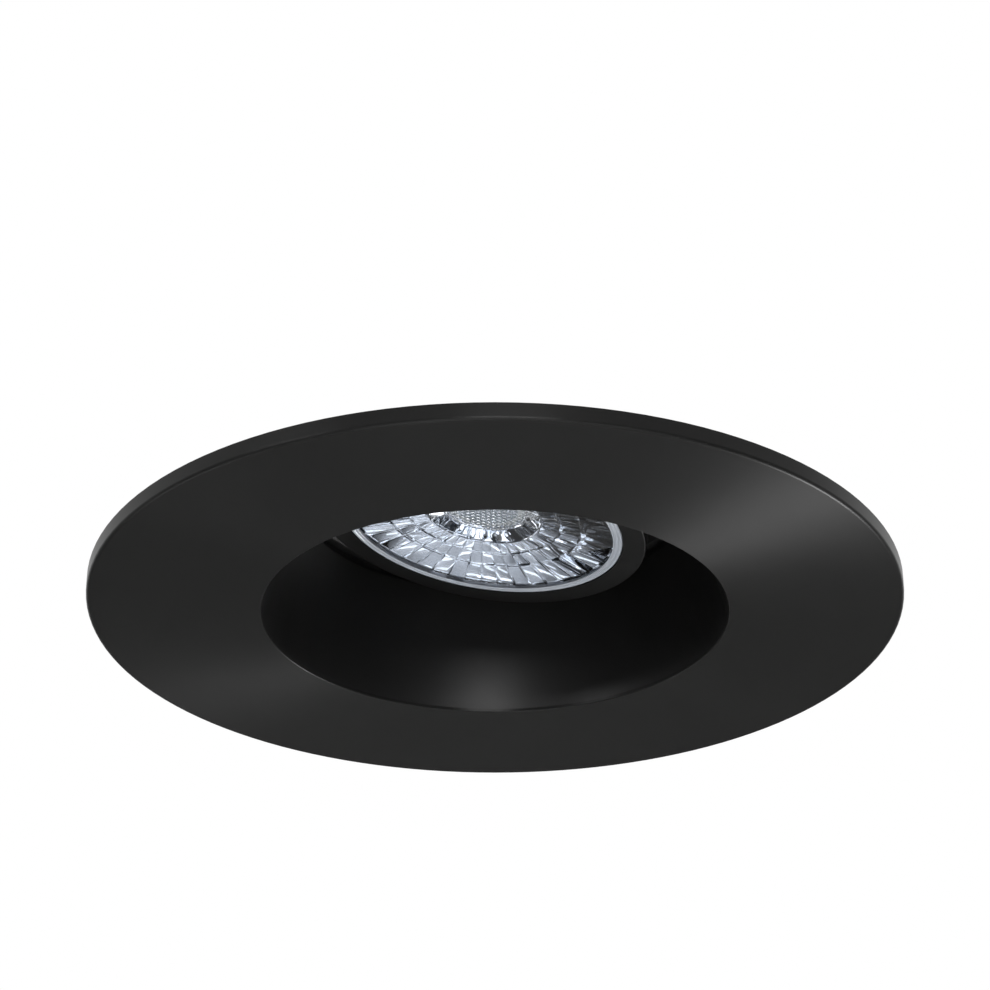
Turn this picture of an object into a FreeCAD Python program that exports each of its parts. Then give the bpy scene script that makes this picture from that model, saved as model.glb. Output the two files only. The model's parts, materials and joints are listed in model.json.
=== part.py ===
import FreeCAD, Part
import math
import os

import Sketcher

# A recessed, adjustable downlight for a soffit, as it hangs in the board.
#
# Millimetres. +Z is up, into the soffit void; the origin is the centre of the flange's back
# face, which lies against the board's underside. The light leaves downwards, towards -Z.
#
# From below: a round trim ring with a conical black baffle, and behind it a gimbal. A carrier
# ring stands on the trim ring; a swivel ring turns in it about Z; the lamp module tilts in the
# swivel ring's ears about a Y-parallel axis. The module is modelled upright, with its own origin
# on the tilt axis and its face at -face_drop, and is then leaned to its rest angle. Two sprung
# clips on the carrier clamp the board from above.

Vector = FreeCAD.Vector

SIZES = [
    # trim ring and baffle
    ("flange_overlap", 7.5, "how far the flange reaches beyond the cut-out"),
    ("flange_thickness", 2.5, "front face to back face"),
    ("flange_edge_round", 0.5, "round on the flange's front edge"),
    ("mouth_radius", 34.5, "light opening at the front face"),
    ("lip_rise", 0.45, "height of the lip that the baffle stands on"),
    ("lip_edge_round", 0.15, "round on the lip's front edge"),
    ("baffle_wall", 1.2, "wall of the conical baffle"),
    ("baffle_gap", 0.25, "baffle to the trim ring's rebate"),
    ("collar_wall", 1.8, "collar that centres the carrier"),
    ("collar_height", 6.0, "collar above the flange's back"),
    ("collar_gap", 0.2, "collar to carrier bore"),
    ("boss_radius", 2.7, "screw bosses on the trim ring"),
    ("boss_margin", 0.3, "collar beyond the bosses"),
    # gasket
    ("gasket_width", 7.5, "foam ring, radially"),
    ("gasket_depth", 1.0, "groove in the flange's back"),
    ("gasket_proud", 0.4, "foam above the flange's back"),
    ("gasket_gap", 0.3, "foam to the groove's walls"),
    ("rim_land", 2.2, "flat rim outside the groove, which seats on the board"),
    ("spot_face", 0.5, "the back inside the groove, below the rim"),
    # carrier ring
    ("carrier_wall", 2.0, "wall of the carrier"),
    ("carrier_height", 24.0, "carrier above the flange's back"),
    ("shelf_height", 16.4, "underside of the inner shelf"),
    ("shelf_thickness", 2.0, "inner shelf"),
    ("shelf_bearing", 4.6, "how far the shelf reaches under the swivel ring"),
    ("cable_window_width", 18.0, "windows in the carrier wall"),
    ("cable_window_height", 6.0, "windows in the carrier wall"),
    ("cable_window_rise", 7.5, "windows above the flange's back"),
    # swivel ring and its retainer
    ("running_gap", 0.1, "around everything that turns on metal"),
    ("envelope_gap", 0.76, "swivel ring to the module's sweep"),
    ("swivel_thickness", 2.0, "swivel ring"),
    ("ear_thickness", 2.0, "gimbal ears"),
    ("ear_width", 12.0, "gimbal ears"),
    ("ear_top", 6.4, "ears above the tilt axis"),
    ("retainer_thickness", 1.2, "retaining ring"),
    ("retainer_lap", 2.0, "retaining ring over the swivel ring"),
    ("stop_width", 2.6, "swivel stop and its tab"),
    ("stop_reach", 1.3, "swivel stop inwards of the retaining ring"),
    ("stop_tab_height", 1.8, "tab above the swivel ring"),
    ("screw_radius", 1.5, "long screws"),
    ("screw_length", 14.0, "long screws below their heads"),
    ("screw_head_radius", 2.7, "long screws"),
    ("screw_head_height", 2.0, "long screws"),
    ("screw_gap", 0.05, "screws in their holes"),
    ("screw_edge", 1.4, "metal beside the long screws"),
    ("key_radius", 1.2, "key sockets in the long screws"),
    ("key_depth", 1.1, "key sockets in the long and the pivot screws"),
    # tilt axis
    ("pivot_rise", 4.6, "tilt axis above the retaining ring"),
    ("rest_tilt", 9.28, "lean of the module as photographed, in degrees"),
    ("pivot_boss_radius", 4.5, "pivot bosses on the heat sink"),
    ("shoulder_radius", 2.5, "pivot screws in the ears"),
    ("pivot_gap", 0.08, "pivot screws in the ears"),
    ("pivot_thread_radius", 2.0, "pivot screws in the bosses"),
    ("pivot_thread_length", 6.5, "pivot screws in the bosses"),
    ("pivot_head_radius", 3.4, "pivot screws"),
    ("pivot_head_height", 2.0, "pivot screws"),
    ("pivot_key_radius", 1.6, "key sockets in the pivot screws"),
    ("washer_thickness", 0.7, "friction washers between boss and ear"),
    ("washer_margin", 0.3, "washers beyond their bosses"),
    # module front
    ("face_drop", 13.85, "tilt axis to the module's front face"),
    ("lens_radius", 21.5, "visible lens"),
    ("lens_gap", 0.15, "lens to bezel"),
    ("bezel_face", 3.45, "visible width of the bezel"),
    ("bezel_lip", 1.2, "thickness of the bezel's front"),
    ("bezel_depth", 8.4, "length of the bezel"),
    ("bezel_skirt", 1.1, "wall of the bezel"),
    ("bezel_edge_round", 0.3, "round on the bezel's front edge"),
    ("lens_flange_gap", 0.4, "lens flange to bezel skirt"),
    ("lens_flange", 1.0, "thickness of the lens flange"),
    ("seal_width", 1.4, "lens seal, radially"),
    ("seal_thickness", 0.5, "lens seal"),
    # faceted back of the lens: radius and depth of each ring of corners, from the front face
    ("facet_count", 48.0, "facets in each row"),
    ("facet_rim_radius", 20.2, "where the facets start, on the flange"),
    ("facet_outer_radius", 15.1, "first row's inner corners"),
    ("facet_outer_depth", 3.4, "first row's inner corners"),
    ("facet_middle_radius", 11.9, "second row's inner corners"),
    ("facet_middle_depth", 4.3, "second row's inner corners"),
    ("facet_inner_radius", 9.0, "third row's inner corners"),
    ("facet_inner_depth", 5.1, "third row's inner corners"),
    ("facet_disc_radius", 6.5, "flat disc in the middle"),
    ("facet_disc_depth", 7.9, "flat disc in the middle"),
    # module inside
    ("reflector_gap", 0.35, "reflector behind the lens"),
    ("reflector_wall", 0.8, "reflector"),
    ("reflector_side_gap", 0.25, "reflector to the heat sink's cup"),
    ("reflector_hole_gap", 0.4, "reflector's hole beyond the lens disc"),
    ("cup_wall", 1.9, "heat sink's cup"),
    ("cup_gap", 0.1, "bezel skirt over the cup"),
    ("emitter_radius", 5.2, "light-emitting disc"),
    ("emitter_height", 0.5, "light-emitting disc"),
    ("emitter_gap", 0.25, "light-emitting disc to lens"),
    ("board_side", 13.5, "chip carrier, square"),
    ("board_thickness", 1.0, "chip carrier"),
    ("pad_thickness", 0.25, "thermal pad under the chip carrier"),
    ("holder_radius", 17.0, "holder of the chip carrier"),
    ("holder_bore", 8.4, "holder of the chip carrier"),
    ("holder_lap", 0.8, "holder over the chip carrier's corners"),
    ("holder_gap", 0.1, "holder to the chip carrier"),
    ("holder_screw_circle", 13.0, "holder's screws from the middle"),
    ("holder_screw_radius", 1.1, "holder's screws"),
    ("holder_screw_length", 5.0, "holder's screws below their heads"),
    ("holder_head_radius", 2.0, "holder's screws"),
    ("holder_head_height", 1.3, "holder's screws"),
    ("holder_key_radius", 0.9, "key sockets in the holder's screws"),
    ("holder_key_depth", 0.7, "key sockets in the holder's screws"),
    ("sink_base", 5.95, "heat sink's base plate"),
    ("sink_height", 15.0, "fins above the base plate"),
    ("sink_core_radius", 8.0, "heat sink's core"),
    ("fin_count", 24.0, "cooling fins"),
    ("fin_thickness", 1.4, "cooling fins"),
    ("fin_setback", 0.4, "fin tips inside the base plate's rim"),
    ("bezel_screw_radius", 1.0, "grub screws in the bezel"),
    ("bezel_screw_sink", 0.1, "grub screws below the skirt's surface"),
    # cable gland on top of the module
    ("gland_offset", 10.0, "gland from the module's middle"),
    ("gland_seat_drop", 8.0, "gland's seat below the fin tops"),
    ("gland_boss_radius", 8.2, "boss under the gland"),
    ("gland_room", 9.4, "clearing in the fins round the gland"),
    ("gland_hex_radius", 7.5, "corners of the gland's hexagons"),
    ("gland_hex_height", 3.0, "gland's lower hexagon"),
    ("gland_spigot_radius", 4.0, "gland's thread in the boss"),
    ("gland_spigot_length", 5.0, "gland's thread in the boss"),
    ("gland_stem_radius", 5.2, "gland's upper thread"),
    ("gland_stem_height", 5.5, "gland's upper thread"),
    ("gland_nut_roof", 1.95, "end wall of the cap nut"),
    ("cable_bore", 3.3, "cable entry, radius"),
    ("gland_seal_wall", 1.1, "gland's rubber sleeve"),
    ("wire_hole_radius", 2.0, "wire way through the base plate"),
    # board clips
    ("board_space", 6.0, "thinnest board, flange to clip pad"),
    ("cutout_gap", 0.5, "cut-out beyond the clip lugs"),
    ("clip_width", 13.6, "clip arm across"),
    ("clip_sheet", 1.0, "sheet of the clip arms"),
    ("clip_reach", 17.0, "clip pin to clip tip"),
    ("clip_eye_radius", 3.2, "clip arm round its pin"),
    ("clip_tip_height", 2.5, "sides of the clip arm at its tip"),
    ("clip_heel", 3.9, "clip pin to the start of the arm's web"),
    ("pad_sheet", 1.0, "rubber pad under the clip tip"),
    ("pad_reach", 7.0, "rubber pad along the arm"),
    ("pad_lip", 0.8, "rubber pad round the tip"),
    ("pin_radius", 1.5, "clip pins"),
    ("pin_head_radius", 2.3, "clip pins"),
    ("pin_head_height", 0.9, "clip pins"),
    ("lug_thickness", 2.0, "cheeks that hold the clip pins"),
    ("lug_eye_radius", 3.4, "cheeks round the pins"),
    ("lug_foot", 1.0, "plate under the cheeks"),
    ("lug_foot_lap", 1.0, "plate under the arm's web"),
    ("side_gap", 0.4, "between cheeks, arm and pin heads"),
    # clip springs
    ("wire_radius", 0.5, "spring wire"),
    ("coil_radius", 2.5, "middle of the wire, from the pin"),
    ("coil_turns", 3.0, "whole turns, besides the quarter between the legs"),
    ("coil_pitch", 1.5, "along the pin, per turn"),
    ("wall_leg", 5.0, "leg up the carrier's wall"),
    ("arm_leg", 9.0, "leg along the arm"),
]

SCREW_COUNT = 3  # long screws, and windows between them
BEZEL_SCREW_COUNT = 3
SIDES = (("left", -1), ("right", 1))


class Dim:
    """A size: its value now, and the expression that ties it to the sheet."""

    def __init__(self, value, text):
        self.value = value
        self.text = text

    @staticmethod
    def of(thing):
        """The same size, or a plain number as one."""
        return thing if isinstance(thing, Dim) else Dim(float(thing), f"{float(thing):.9f}")

    def __add__(self, other):
        other = Dim.of(other)
        return Dim(self.value + other.value, f"({self.text} + {other.text})")

    def __sub__(self, other):
        other = Dim.of(other)
        return Dim(self.value - other.value, f"({self.text} - {other.text})")

    def __mul__(self, other):
        other = Dim.of(other)
        return Dim(self.value * other.value, f"({self.text} * {other.text})")

    def __truediv__(self, other):
        other = Dim.of(other)
        return Dim(self.value / other.value, f"({self.text} / {other.text})")

    def __neg__(self):
        return Dim(-self.value, f"(0 - {self.text})")

    def __radd__(self, other):
        return Dim.of(other) + self

    def __rsub__(self, other):
        return Dim.of(other) - self

    __rmul__ = __mul__


def root(size):
    """Square root of a size."""
    return Dim(math.sqrt(size.value), f"sqrt({size.text})")


def larger(one, other):
    """The larger of two sizes."""
    return Dim(max(one.value, other.value), f"max({one.text}; {other.text})")


class Sheet:
    """The spreadsheet of driving sizes, read by name."""

    def __init__(self, document, rows):
        self.cells = document.addObject("Spreadsheet::Sheet", "Sizes")
        for row, (name, value, meaning) in enumerate(rows, start=1):
            self.cells.set(f"A{row}", name)
            self.cells.set(f"B{row}", str(value))
            self.cells.set(f"C{row}", meaning)
            self.cells.setAlias(f"B{row}", name)
        document.recompute()

    def __getattr__(self, name):
        return Dim(float(self.cells.get(name)), f"Sizes.{name}")


document = FreeCAD.newDocument("soffit_downlight")
size = Sheet(document, SIZES)
parts = []

# ---- places worked out from the driving sizes -------------------------------------------------

mouth_z = -size.flange_thickness
ledge_z = mouth_z + size.lip_rise
shelf_top = size.shelf_height + size.shelf_thickness
swivel_bottom = shelf_top + size.running_gap
swivel_top = swivel_bottom + size.swivel_thickness
retainer_bottom = swivel_top + size.running_gap
retainer_top = retainer_bottom + size.retainer_thickness
pivot_z = retainer_top + size.pivot_rise

bezel_bore = size.lens_radius + size.lens_gap
bezel_radius = bezel_bore + size.bezel_face
envelope = root(bezel_radius * bezel_radius + size.face_drop * size.face_drop)
ear_inside = envelope + size.envelope_gap
ear_outside = ear_inside + size.ear_thickness
ear_corner = root(ear_outside * ear_outside + size.ear_width * size.ear_width / 4)
retainer_inner = ear_corner + size.stop_reach + size.running_gap * 2
swivel_outer = retainer_inner + size.retainer_lap
baffle_top_radius = ear_inside
baffle_slope = (size.mouth_radius - baffle_top_radius) / (size.shelf_height - mouth_z)
lip_top_radius = size.mouth_radius - baffle_slope * size.lip_rise
rebate_radius = lip_top_radius + size.baffle_wall + size.baffle_gap
bolt_circle = larger(
    swivel_outer + size.running_gap + size.screw_edge + size.screw_radius,
    rebate_radius + size.boss_radius + size.baffle_gap,
)
collar_outer = bolt_circle + size.boss_radius + size.boss_margin
collar_inner = collar_outer - size.collar_wall
carrier_inner = collar_outer + size.collar_gap
carrier_outer = carrier_inner + size.carrier_wall
retainer_outer = bolt_circle + size.screw_head_radius + size.boss_margin
baffle_flange_radius = bolt_circle - size.boss_radius - size.baffle_gap * 2

coil_reach = size.coil_radius + size.wire_radius
pin_x = carrier_outer + coil_reach + size.running_gap
web_bottom = size.board_space + size.pad_sheet
web_top = web_bottom + size.clip_sheet
pin_z = web_top + coil_reach
lug_foot_end = pin_x + size.clip_heel + size.lug_foot_lap
cutout_radius = lug_foot_end + size.cutout_gap
flange_radius = cutout_radius + size.flange_overlap
groove_outer = flange_radius - size.rim_land
groove_inner = groove_outer - size.gasket_width - size.gasket_gap * 2

# module heights, from the tilt axis; the front is at the bottom
front = -size.face_drop
lip_back = front + size.bezel_lip
flange_back = lip_back + size.lens_flange
cup_rim = flange_back + size.seal_thickness
skirt_inner = bezel_radius - size.bezel_skirt
cup_outer = skirt_inner - size.cup_gap
cup_inner = cup_outer - size.cup_wall
lens_flange_radius = skirt_inner - size.lens_flange_gap
disc_back = front + size.facet_disc_depth
emitter_front = disc_back + size.emitter_gap
board_front = emitter_front + size.emitter_height
board_back = board_front + size.board_thickness
cup_floor = board_back + size.pad_thickness
base_top = cup_floor + size.sink_base
sink_top = base_top + size.sink_height
boss_end = ear_inside - size.running_gap - size.washer_thickness
gland_seat = sink_top - size.gland_seat_drop
nut_height = size.gland_stem_height + size.screw_gap + size.gland_nut_roof


# ---- helpers ----------------------------------------------------------------------------------


def bind(thing, path, value):
    """Tie one property of a document object to the sheet."""
    thing.setExpression(path, Dim.of(value).text)


def place(thing, x=0, y=0, z=0, axis=(0, 0, 1), angle=0):
    """Put an object at a place tied to the sheet, turned about an axis through that place."""
    spot = Vector(Dim.of(x).value, Dim.of(y).value, Dim.of(z).value)
    thing.Placement = FreeCAD.Placement(spot, FreeCAD.Rotation(Vector(*axis), angle))
    for name, value in (("x", x), ("y", y), ("z", z)):
        if isinstance(value, Dim):
            bind(thing, f"Placement.Base.{name}", value)
    return thing


def name_part(thing, label, in_module=False):
    """Make an object a sub-part under its own name; the module's are leaned to rest."""
    thing.Label = label
    if in_module:
        place(thing, z=pivot_z, axis=(0, 1, 0), angle=size.rest_tilt.value)
        bind(thing, "Placement.Rotation.Angle", size.rest_tilt)
    parts.append(thing)
    return thing


def cylinder(name, radius, height, x=0, y=0, z=0, axis="Z"):
    """A cylinder that starts at a place and runs along +X, +Y or +Z."""
    thing = document.addObject("Part::Cylinder", name)
    thing.Radius = Dim.of(radius).value
    thing.Height = Dim.of(height).value
    bind(thing, "Radius", radius)
    bind(thing, "Height", height)
    turn = {"X": ((0, 1, 0), 90), "Y": ((1, 0, 0), -90), "Z": ((0, 0, 1), 0)}[axis]
    return place(thing, x, y, z, *turn)


def block(name, low, high):
    """A box between two corners."""
    thing = document.addObject("Part::Box", name)
    for side, one, other in zip(("Length", "Width", "Height"), low, high):
        bind(thing, side, Dim.of(other) - one)
    return place(thing, *low)


def hexagon(name, radius, height, x, z):
    """A hexagonal prism standing on a level."""
    thing = document.addObject("Part::Prism", name)
    thing.Polygon = 6
    thing.Circumradius = radius.value
    thing.Height = height.value
    bind(thing, "Circumradius", radius)
    bind(thing, "Height", height)
    return place(thing, x=x, z=z)


def fuse(name, shapes):
    """Join shapes into one."""
    thing = document.addObject("Part::MultiFuse", name)
    thing.Shapes = shapes
    thing.Refine = True
    return thing


def cut(name, base, tools):
    """Take tools away from a shape."""
    thing = document.addObject("Part::Cut", name)
    thing.Base = base
    thing.Tool = tools[0] if len(tools) == 1 else fuse(name + "_tools", tools)
    thing.Refine = True
    return thing


def group(name, shapes):
    """Separate solids that share one node."""
    thing = document.addObject("Part::Compound", name)
    thing.Links = shapes
    return thing


def around(count, start=0):
    """Angles of a ring of copies, in degrees."""
    return [start + 360 * i / count for i in range(count)]


def on_circle(radius, angle):
    """The place at an angle on a circle."""
    turn = math.radians(angle)
    return radius * math.cos(turn), radius * math.sin(turn)


def draw(body, name, plane, corners):
    """A closed outline on one of a body's planes, each corner held by the sheet."""
    sketch = body.newObject("Sketcher::SketchObject", name)
    origin_plane = next(f for f in body.Origin.OriginFeatures if f.Role == plane)
    sketch.AttachmentSupport = [(origin_plane, "")]
    sketch.MapMode = "FlatFace"
    corners = [(Dim.of(u), Dim.of(v)) for u, v in corners]
    points = [Vector(u.value, v.value, 0) for u, v in corners]
    ends = points[1:] + points[:1]
    count = len(points)
    sketch.addGeometry([Part.LineSegment(a, b) for a, b in zip(points, ends)], False)
    joins = [Sketcher.Constraint("Coincident", i, 2, (i + 1) % count, 1) for i in range(count)]
    holds = []
    for i, (u, v) in enumerate(corners):
        holds.append(("DistanceX", i, u))
        holds.append(("DistanceY", i, v))
    sketch.addConstraint(
        joins + [Sketcher.Constraint(kind, -1, 1, i, 1, value.value) for kind, i, value in holds]
    )
    for index, (_, _, value) in enumerate(holds, start=count):
        bind(sketch, f"Constraints[{index}]", value)
    return sketch


def turned(name, corners):
    """A body turned about Z from an outline of (radius, height) corners."""
    body = document.addObject("PartDesign::Body", name)
    sketch = draw(body, name + "_outline", "XZ_Plane", corners)
    turn = body.newObject("PartDesign::Revolution", name + "_turn")
    turn.Profile = sketch
    turn.ReferenceAxis = (sketch, ["V_Axis"])
    turn.Angle = 360
    body.Tip = turn
    return body


def round_edge(body, name, radius, height, size_of_round):
    """Round the circular edge of a turned body that has this radius and height."""
    document.recompute()
    base = body.Tip
    found = []
    for number, edge in enumerate(base.Shape.Edges, start=1):
        curve = edge.Curve
        if not isinstance(curve, Part.Circle):
            continue
        if math.isclose(curve.Radius, radius.value, abs_tol=1e-4) and math.isclose(
            curve.Center.z, height.value, abs_tol=1e-4
        ):
            found.append(f"Edge{number}")
    fillet = body.newObject("PartDesign::Fillet", name)
    fillet.Base = (base, found)
    fillet.Radius = size_of_round.value
    bind(fillet, "Radius", size_of_round)
    body.Tip = fillet


def ring(name, inner, outer, bottom, top):
    """A turned ring of rectangular section."""
    return turned(name, [(inner, bottom), (outer, bottom), (outer, top), (inner, top)])


def socket_head(name, radius, depth, x=0, y=0, z=0, axis=(0, 0, 1), angle=0):
    """The hexagonal key socket to cut from a screw's head."""
    socket = document.addObject("Part::Prism", name)
    socket.Polygon = 6
    bind(socket, "Circumradius", radius)
    bind(socket, "Height", depth)
    return place(socket, x, y, z, axis, angle)


# ---- trim ring, baffle, gasket ----------------------------------------------------------------


def make_trim_ring():
    """Flange, lip, gasket groove and centring collar, with three screw bosses."""
    body = turned(
        "trim_turned",
        [
            (size.mouth_radius, mouth_z),
            (flange_radius, mouth_z),
            (flange_radius, 0),
            (groove_outer, 0),
            (groove_outer, -size.gasket_depth),
            (groove_inner, -size.gasket_depth),
            (groove_inner, -size.spot_face),
            (collar_outer, -size.spot_face),
            (collar_outer, size.collar_height),
            (collar_inner, size.collar_height),
            (collar_inner, -size.spot_face),
            (rebate_radius, -size.spot_face),
            (rebate_radius, ledge_z),
            (lip_top_radius, ledge_z),
        ],
    )
    round_edge(body, "flange_edge", flange_radius, mouth_z, size.flange_edge_round)
    round_edge(body, "lip_edge", size.mouth_radius, mouth_z, size.lip_edge_round)
    bosses, holes = [], []
    hole_radius = size.screw_radius + size.screw_gap
    hole_bottom = retainer_top - size.screw_length - size.screw_gap
    for i, angle in enumerate(around(SCREW_COUNT, 90)):
        x, y = on_circle(bolt_circle, angle)
        foot = -size.gasket_depth
        bosses.append(cylinder(f"trim_boss_{i}", size.boss_radius, size.shelf_height - foot, x, y, foot))
        depth = size.shelf_height - hole_bottom + 1
        holes.append(cylinder(f"trim_hole_{i}", hole_radius, depth, x, y, hole_bottom))
    name_part(cut("trim", fuse("trim_blank", [body] + bosses), holes), "trim_ring")


def make_baffle():
    """Cone that shades the lamp, hung under the carrier's shelf by its top flange."""
    wall = size.baffle_wall
    top = size.shelf_height
    outer_top = baffle_top_radius + wall + baffle_slope * wall
    body = turned(
        "baffle",
        [
            (lip_top_radius, ledge_z),
            (lip_top_radius + wall, ledge_z),
            (outer_top, top - wall),
            (baffle_flange_radius, top - wall),
            (baffle_flange_radius, top),
            (baffle_top_radius, top),
        ],
    )
    name_part(body, "baffle_cone")


def make_gasket():
    """Foam ring in the flange's back."""
    inner = groove_inner + size.gasket_gap
    outer = groove_outer - size.gasket_gap
    body = ring("gasket", inner, outer, -size.gasket_depth, size.gasket_proud)
    name_part(body, "soffit_gasket")


# ---- carrier, swivel ring, retaining ring -----------------------------------------------------


def eye_plate(name, eye_radius, y_low, y_high, corners):
    """A plate square to Y with a round end about the right clip's pin."""
    body = document.addObject("PartDesign::Body", name + "_blade")
    sketch = draw(body, name + "_outline", "XZ_Plane", corners)
    pad = body.newObject("PartDesign::Pad", name + "_pad")
    pad.Profile = sketch
    bind(pad, "Length", Dim.of(y_high) - y_low)
    body.Tip = pad
    place(body, y=y_high)
    eye = cylinder(name + "_eye", eye_radius, Dim.of(y_high) - y_low, pin_x, y_low, pin_z, "Y")
    return fuse(name, [body, eye])


def mirrored(name, shape):
    """A copy of a shape on the other side of X = 0."""
    thing = document.addObject("Part::Mirroring", name)
    thing.Source = shape
    thing.Normal = Vector(1, 0, 0)
    return thing


cheek_inside = size.coil_pitch * (size.coil_turns + 0.25) / 2 + size.wire_radius + size.side_gap
cheek_outside = cheek_inside + size.lug_thickness
arm_side = size.clip_width / 2
arm_side_inside = arm_side - size.clip_sheet
lug_root = carrier_outer - size.carrier_wall / 2
lug_floor = web_bottom - size.running_gap - size.lug_foot


def make_lug():
    """The right clip's lug on the carrier: two cheeks on a foot that stops the arm."""
    foot_top = lug_floor + size.lug_foot
    pieces = [
        block("lug_foot", (lug_root, -cheek_outside, lug_floor), (lug_foot_end, cheek_outside, foot_top))
    ]
    for side, low, high in (
        ("near", -cheek_outside, -cheek_inside),
        ("far", cheek_inside, cheek_outside),
    ):
        eye = size.lug_eye_radius
        corners = [
            (lug_root, lug_floor),
            (pin_x + eye, lug_floor),
            (pin_x + eye, pin_z),
            (pin_x, pin_z + eye),
            (lug_root, pin_z + eye),
        ]
        pieces.append(eye_plate(f"lug_{side}", eye, low, high, corners))
    width = cheek_outside * 2 + 2
    hole = cylinder(
        "lug_hole", size.pin_radius + size.screw_gap, width, pin_x, width / -2, pin_z, "Y"
    )
    return cut("lug", fuse("lug_blank", pieces), [hole])


def make_carrier():
    """Ring that stands on the trim ring and holds the baffle, the gimbal and the clips."""
    body = turned(
        "carrier_turned",
        [
            (carrier_inner, -size.spot_face),
            (carrier_outer, -size.spot_face),
            (carrier_outer, size.carrier_height),
            (carrier_inner, size.carrier_height),
            (carrier_inner, retainer_bottom),
            (swivel_outer + size.running_gap, retainer_bottom),
            (swivel_outer + size.running_gap, shelf_top),
            (swivel_outer - size.shelf_bearing, shelf_top),
            (swivel_outer - size.shelf_bearing, size.shelf_height),
            (carrier_inner, size.shelf_height),
        ],
    )
    lug = make_lug()
    holes = []
    depth = retainer_bottom - size.shelf_height + 2
    for i, angle in enumerate(around(SCREW_COUNT, 90)):
        x, y = on_circle(bolt_circle, angle)
        radius = size.screw_radius + size.screw_gap
        holes.append(cylinder(f"carrier_hole_{i}", radius, depth, x, y, size.shelf_height - 1))
    window_top = size.cable_window_rise + size.cable_window_height
    for i, angle in enumerate((45, 135, 225, 315)):
        half = size.cable_window_width / 2
        window = block(
            f"carrier_window_{i}",
            (carrier_inner - 4, -half, size.cable_window_rise),
            (carrier_outer + 4, half, window_top),
        )
        turner = group(f"carrier_window_turned_{i}", [window])
        holes.append(place(turner, angle=angle))
    blank = fuse("carrier_blank", [body, lug, mirrored("lug_left", lug)])
    name_part(cut("carrier", blank, holes), "carrier_ring")


def make_swivel_ring():
    """Turning ring with two ears that carry the tilt axis, and a tab that meets the stop."""
    plate = ring("swivel_plate", ear_inside, swivel_outer, swivel_bottom, swivel_top)
    pieces, holes = [plate], []
    half = size.ear_width / 2
    for name, side in SIDES:
        low = ear_inside if side > 0 else -ear_outside
        high = ear_outside if side > 0 else -ear_inside
        straight = pivot_z + size.ear_top - half
        pieces.append(block(f"ear_{name}", (-half, low, swivel_bottom), (half, high, straight)))
        pieces.append(cylinder(f"ear_top_{name}", half, size.ear_thickness, 0, low, straight, "Y"))
        radius = size.shoulder_radius + size.pivot_gap
        holes.append(cylinder(f"ear_hole_{name}", radius, size.ear_thickness + 2, 0, low - 1, pivot_z, "Y"))
    tab_outer = retainer_inner - size.running_gap * 4
    tab_half = size.stop_width / 2
    tab_top = swivel_top + size.stop_tab_height
    pieces.append(
        block("stop_tab", (-tab_outer, -tab_half, swivel_bottom), (-ear_outside, tab_half, tab_top))
    )
    name_part(cut("swivel", fuse("swivel_blank", pieces), holes), "swivel_ring")


def make_retainer():
    """Flat ring screwed down over the swivel ring, with the swivel's stop."""
    body = ring("retainer_plate", retainer_inner, retainer_outer, retainer_bottom, retainer_top)
    half = size.stop_width / 2
    stop = block(
        "swivel_stop",
        (retainer_inner - size.stop_reach, -half, retainer_bottom),
        (retainer_inner + 1, half, retainer_top),
    )
    holes = []
    for i, angle in enumerate(around(SCREW_COUNT, 90)):
        x, y = on_circle(bolt_circle, angle)
        radius = size.screw_radius + size.screw_gap
        depth = size.retainer_thickness + 2
        holes.append(cylinder(f"retainer_hole_{i}", radius, depth, x, y, retainer_bottom - 1))
    name_part(cut("retainer", fuse("retainer_blank", [body, stop]), holes), "retainer_ring")


def make_long_screws():
    """Three screws through retaining ring and carrier into the trim ring's bosses."""
    screws = []
    head_top = retainer_top + size.screw_head_height
    for i, angle in enumerate(around(SCREW_COUNT, 90)):
        x, y = on_circle(bolt_circle, angle)
        shank_low = retainer_top - size.screw_length
        shank = cylinder(f"long_shank_{i}", size.screw_radius, size.screw_length, x, y, shank_low)
        head = cylinder(f"long_head_{i}", size.screw_head_radius, size.screw_head_height, x, y, retainer_top)
        key = socket_head(f"long_key_{i}", size.key_radius, size.key_depth, x, y, head_top - size.key_depth)
        screws.append(cut(f"long_screw_{i}", fuse(f"long_blank_{i}", [shank, head]), [key]))
    name_part(group("long_screws", screws), "retainer_screws")


# ---- lamp module, upright about its tilt axis -------------------------------------------------


def make_bezel():
    """Front ring screwed over the heat sink's cup, with holes for its grub screws."""
    body = turned(
        "bezel_turned",
        [
            (bezel_bore, front),
            (bezel_radius, front),
            (bezel_radius, front + size.bezel_depth),
            (skirt_inner, front + size.bezel_depth),
            (skirt_inner, lip_back),
            (bezel_bore, lip_back),
        ],
    )
    round_edge(body, "bezel_edge", bezel_radius, front, size.bezel_edge_round)
    name_part(cut("bezel", body, grub_holes("bezel", size.screw_gap)), "front_bezel", True)


def grub_holes(name, gap):
    """Radial cylinders through skirt and cup wall, one for each grub screw."""
    level = (cup_rim + front + size.bezel_depth) / 2
    inner = cup_inner + size.cup_wall / 4
    length = bezel_radius - size.bezel_screw_sink - inner
    tools = []
    for i, angle in enumerate(around(BEZEL_SCREW_COUNT, 60)):
        start = inner - gap
        reach = length + gap + (1 if gap.value else 0)
        tool = cylinder(f"{name}_grub_{i}", size.bezel_screw_radius + gap, reach, start, 0, level, "X")
        turner = group(f"{name}_grub_turned_{i}", [tool])
        tools.append(place(turner, angle=angle))
    return tools


def make_bezel_screws():
    """Three grub screws that hold the bezel on the cup."""
    none = size.screw_gap * 0
    name_part(group("grubs", grub_holes("screw", none)), "bezel_screws", True)


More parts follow.
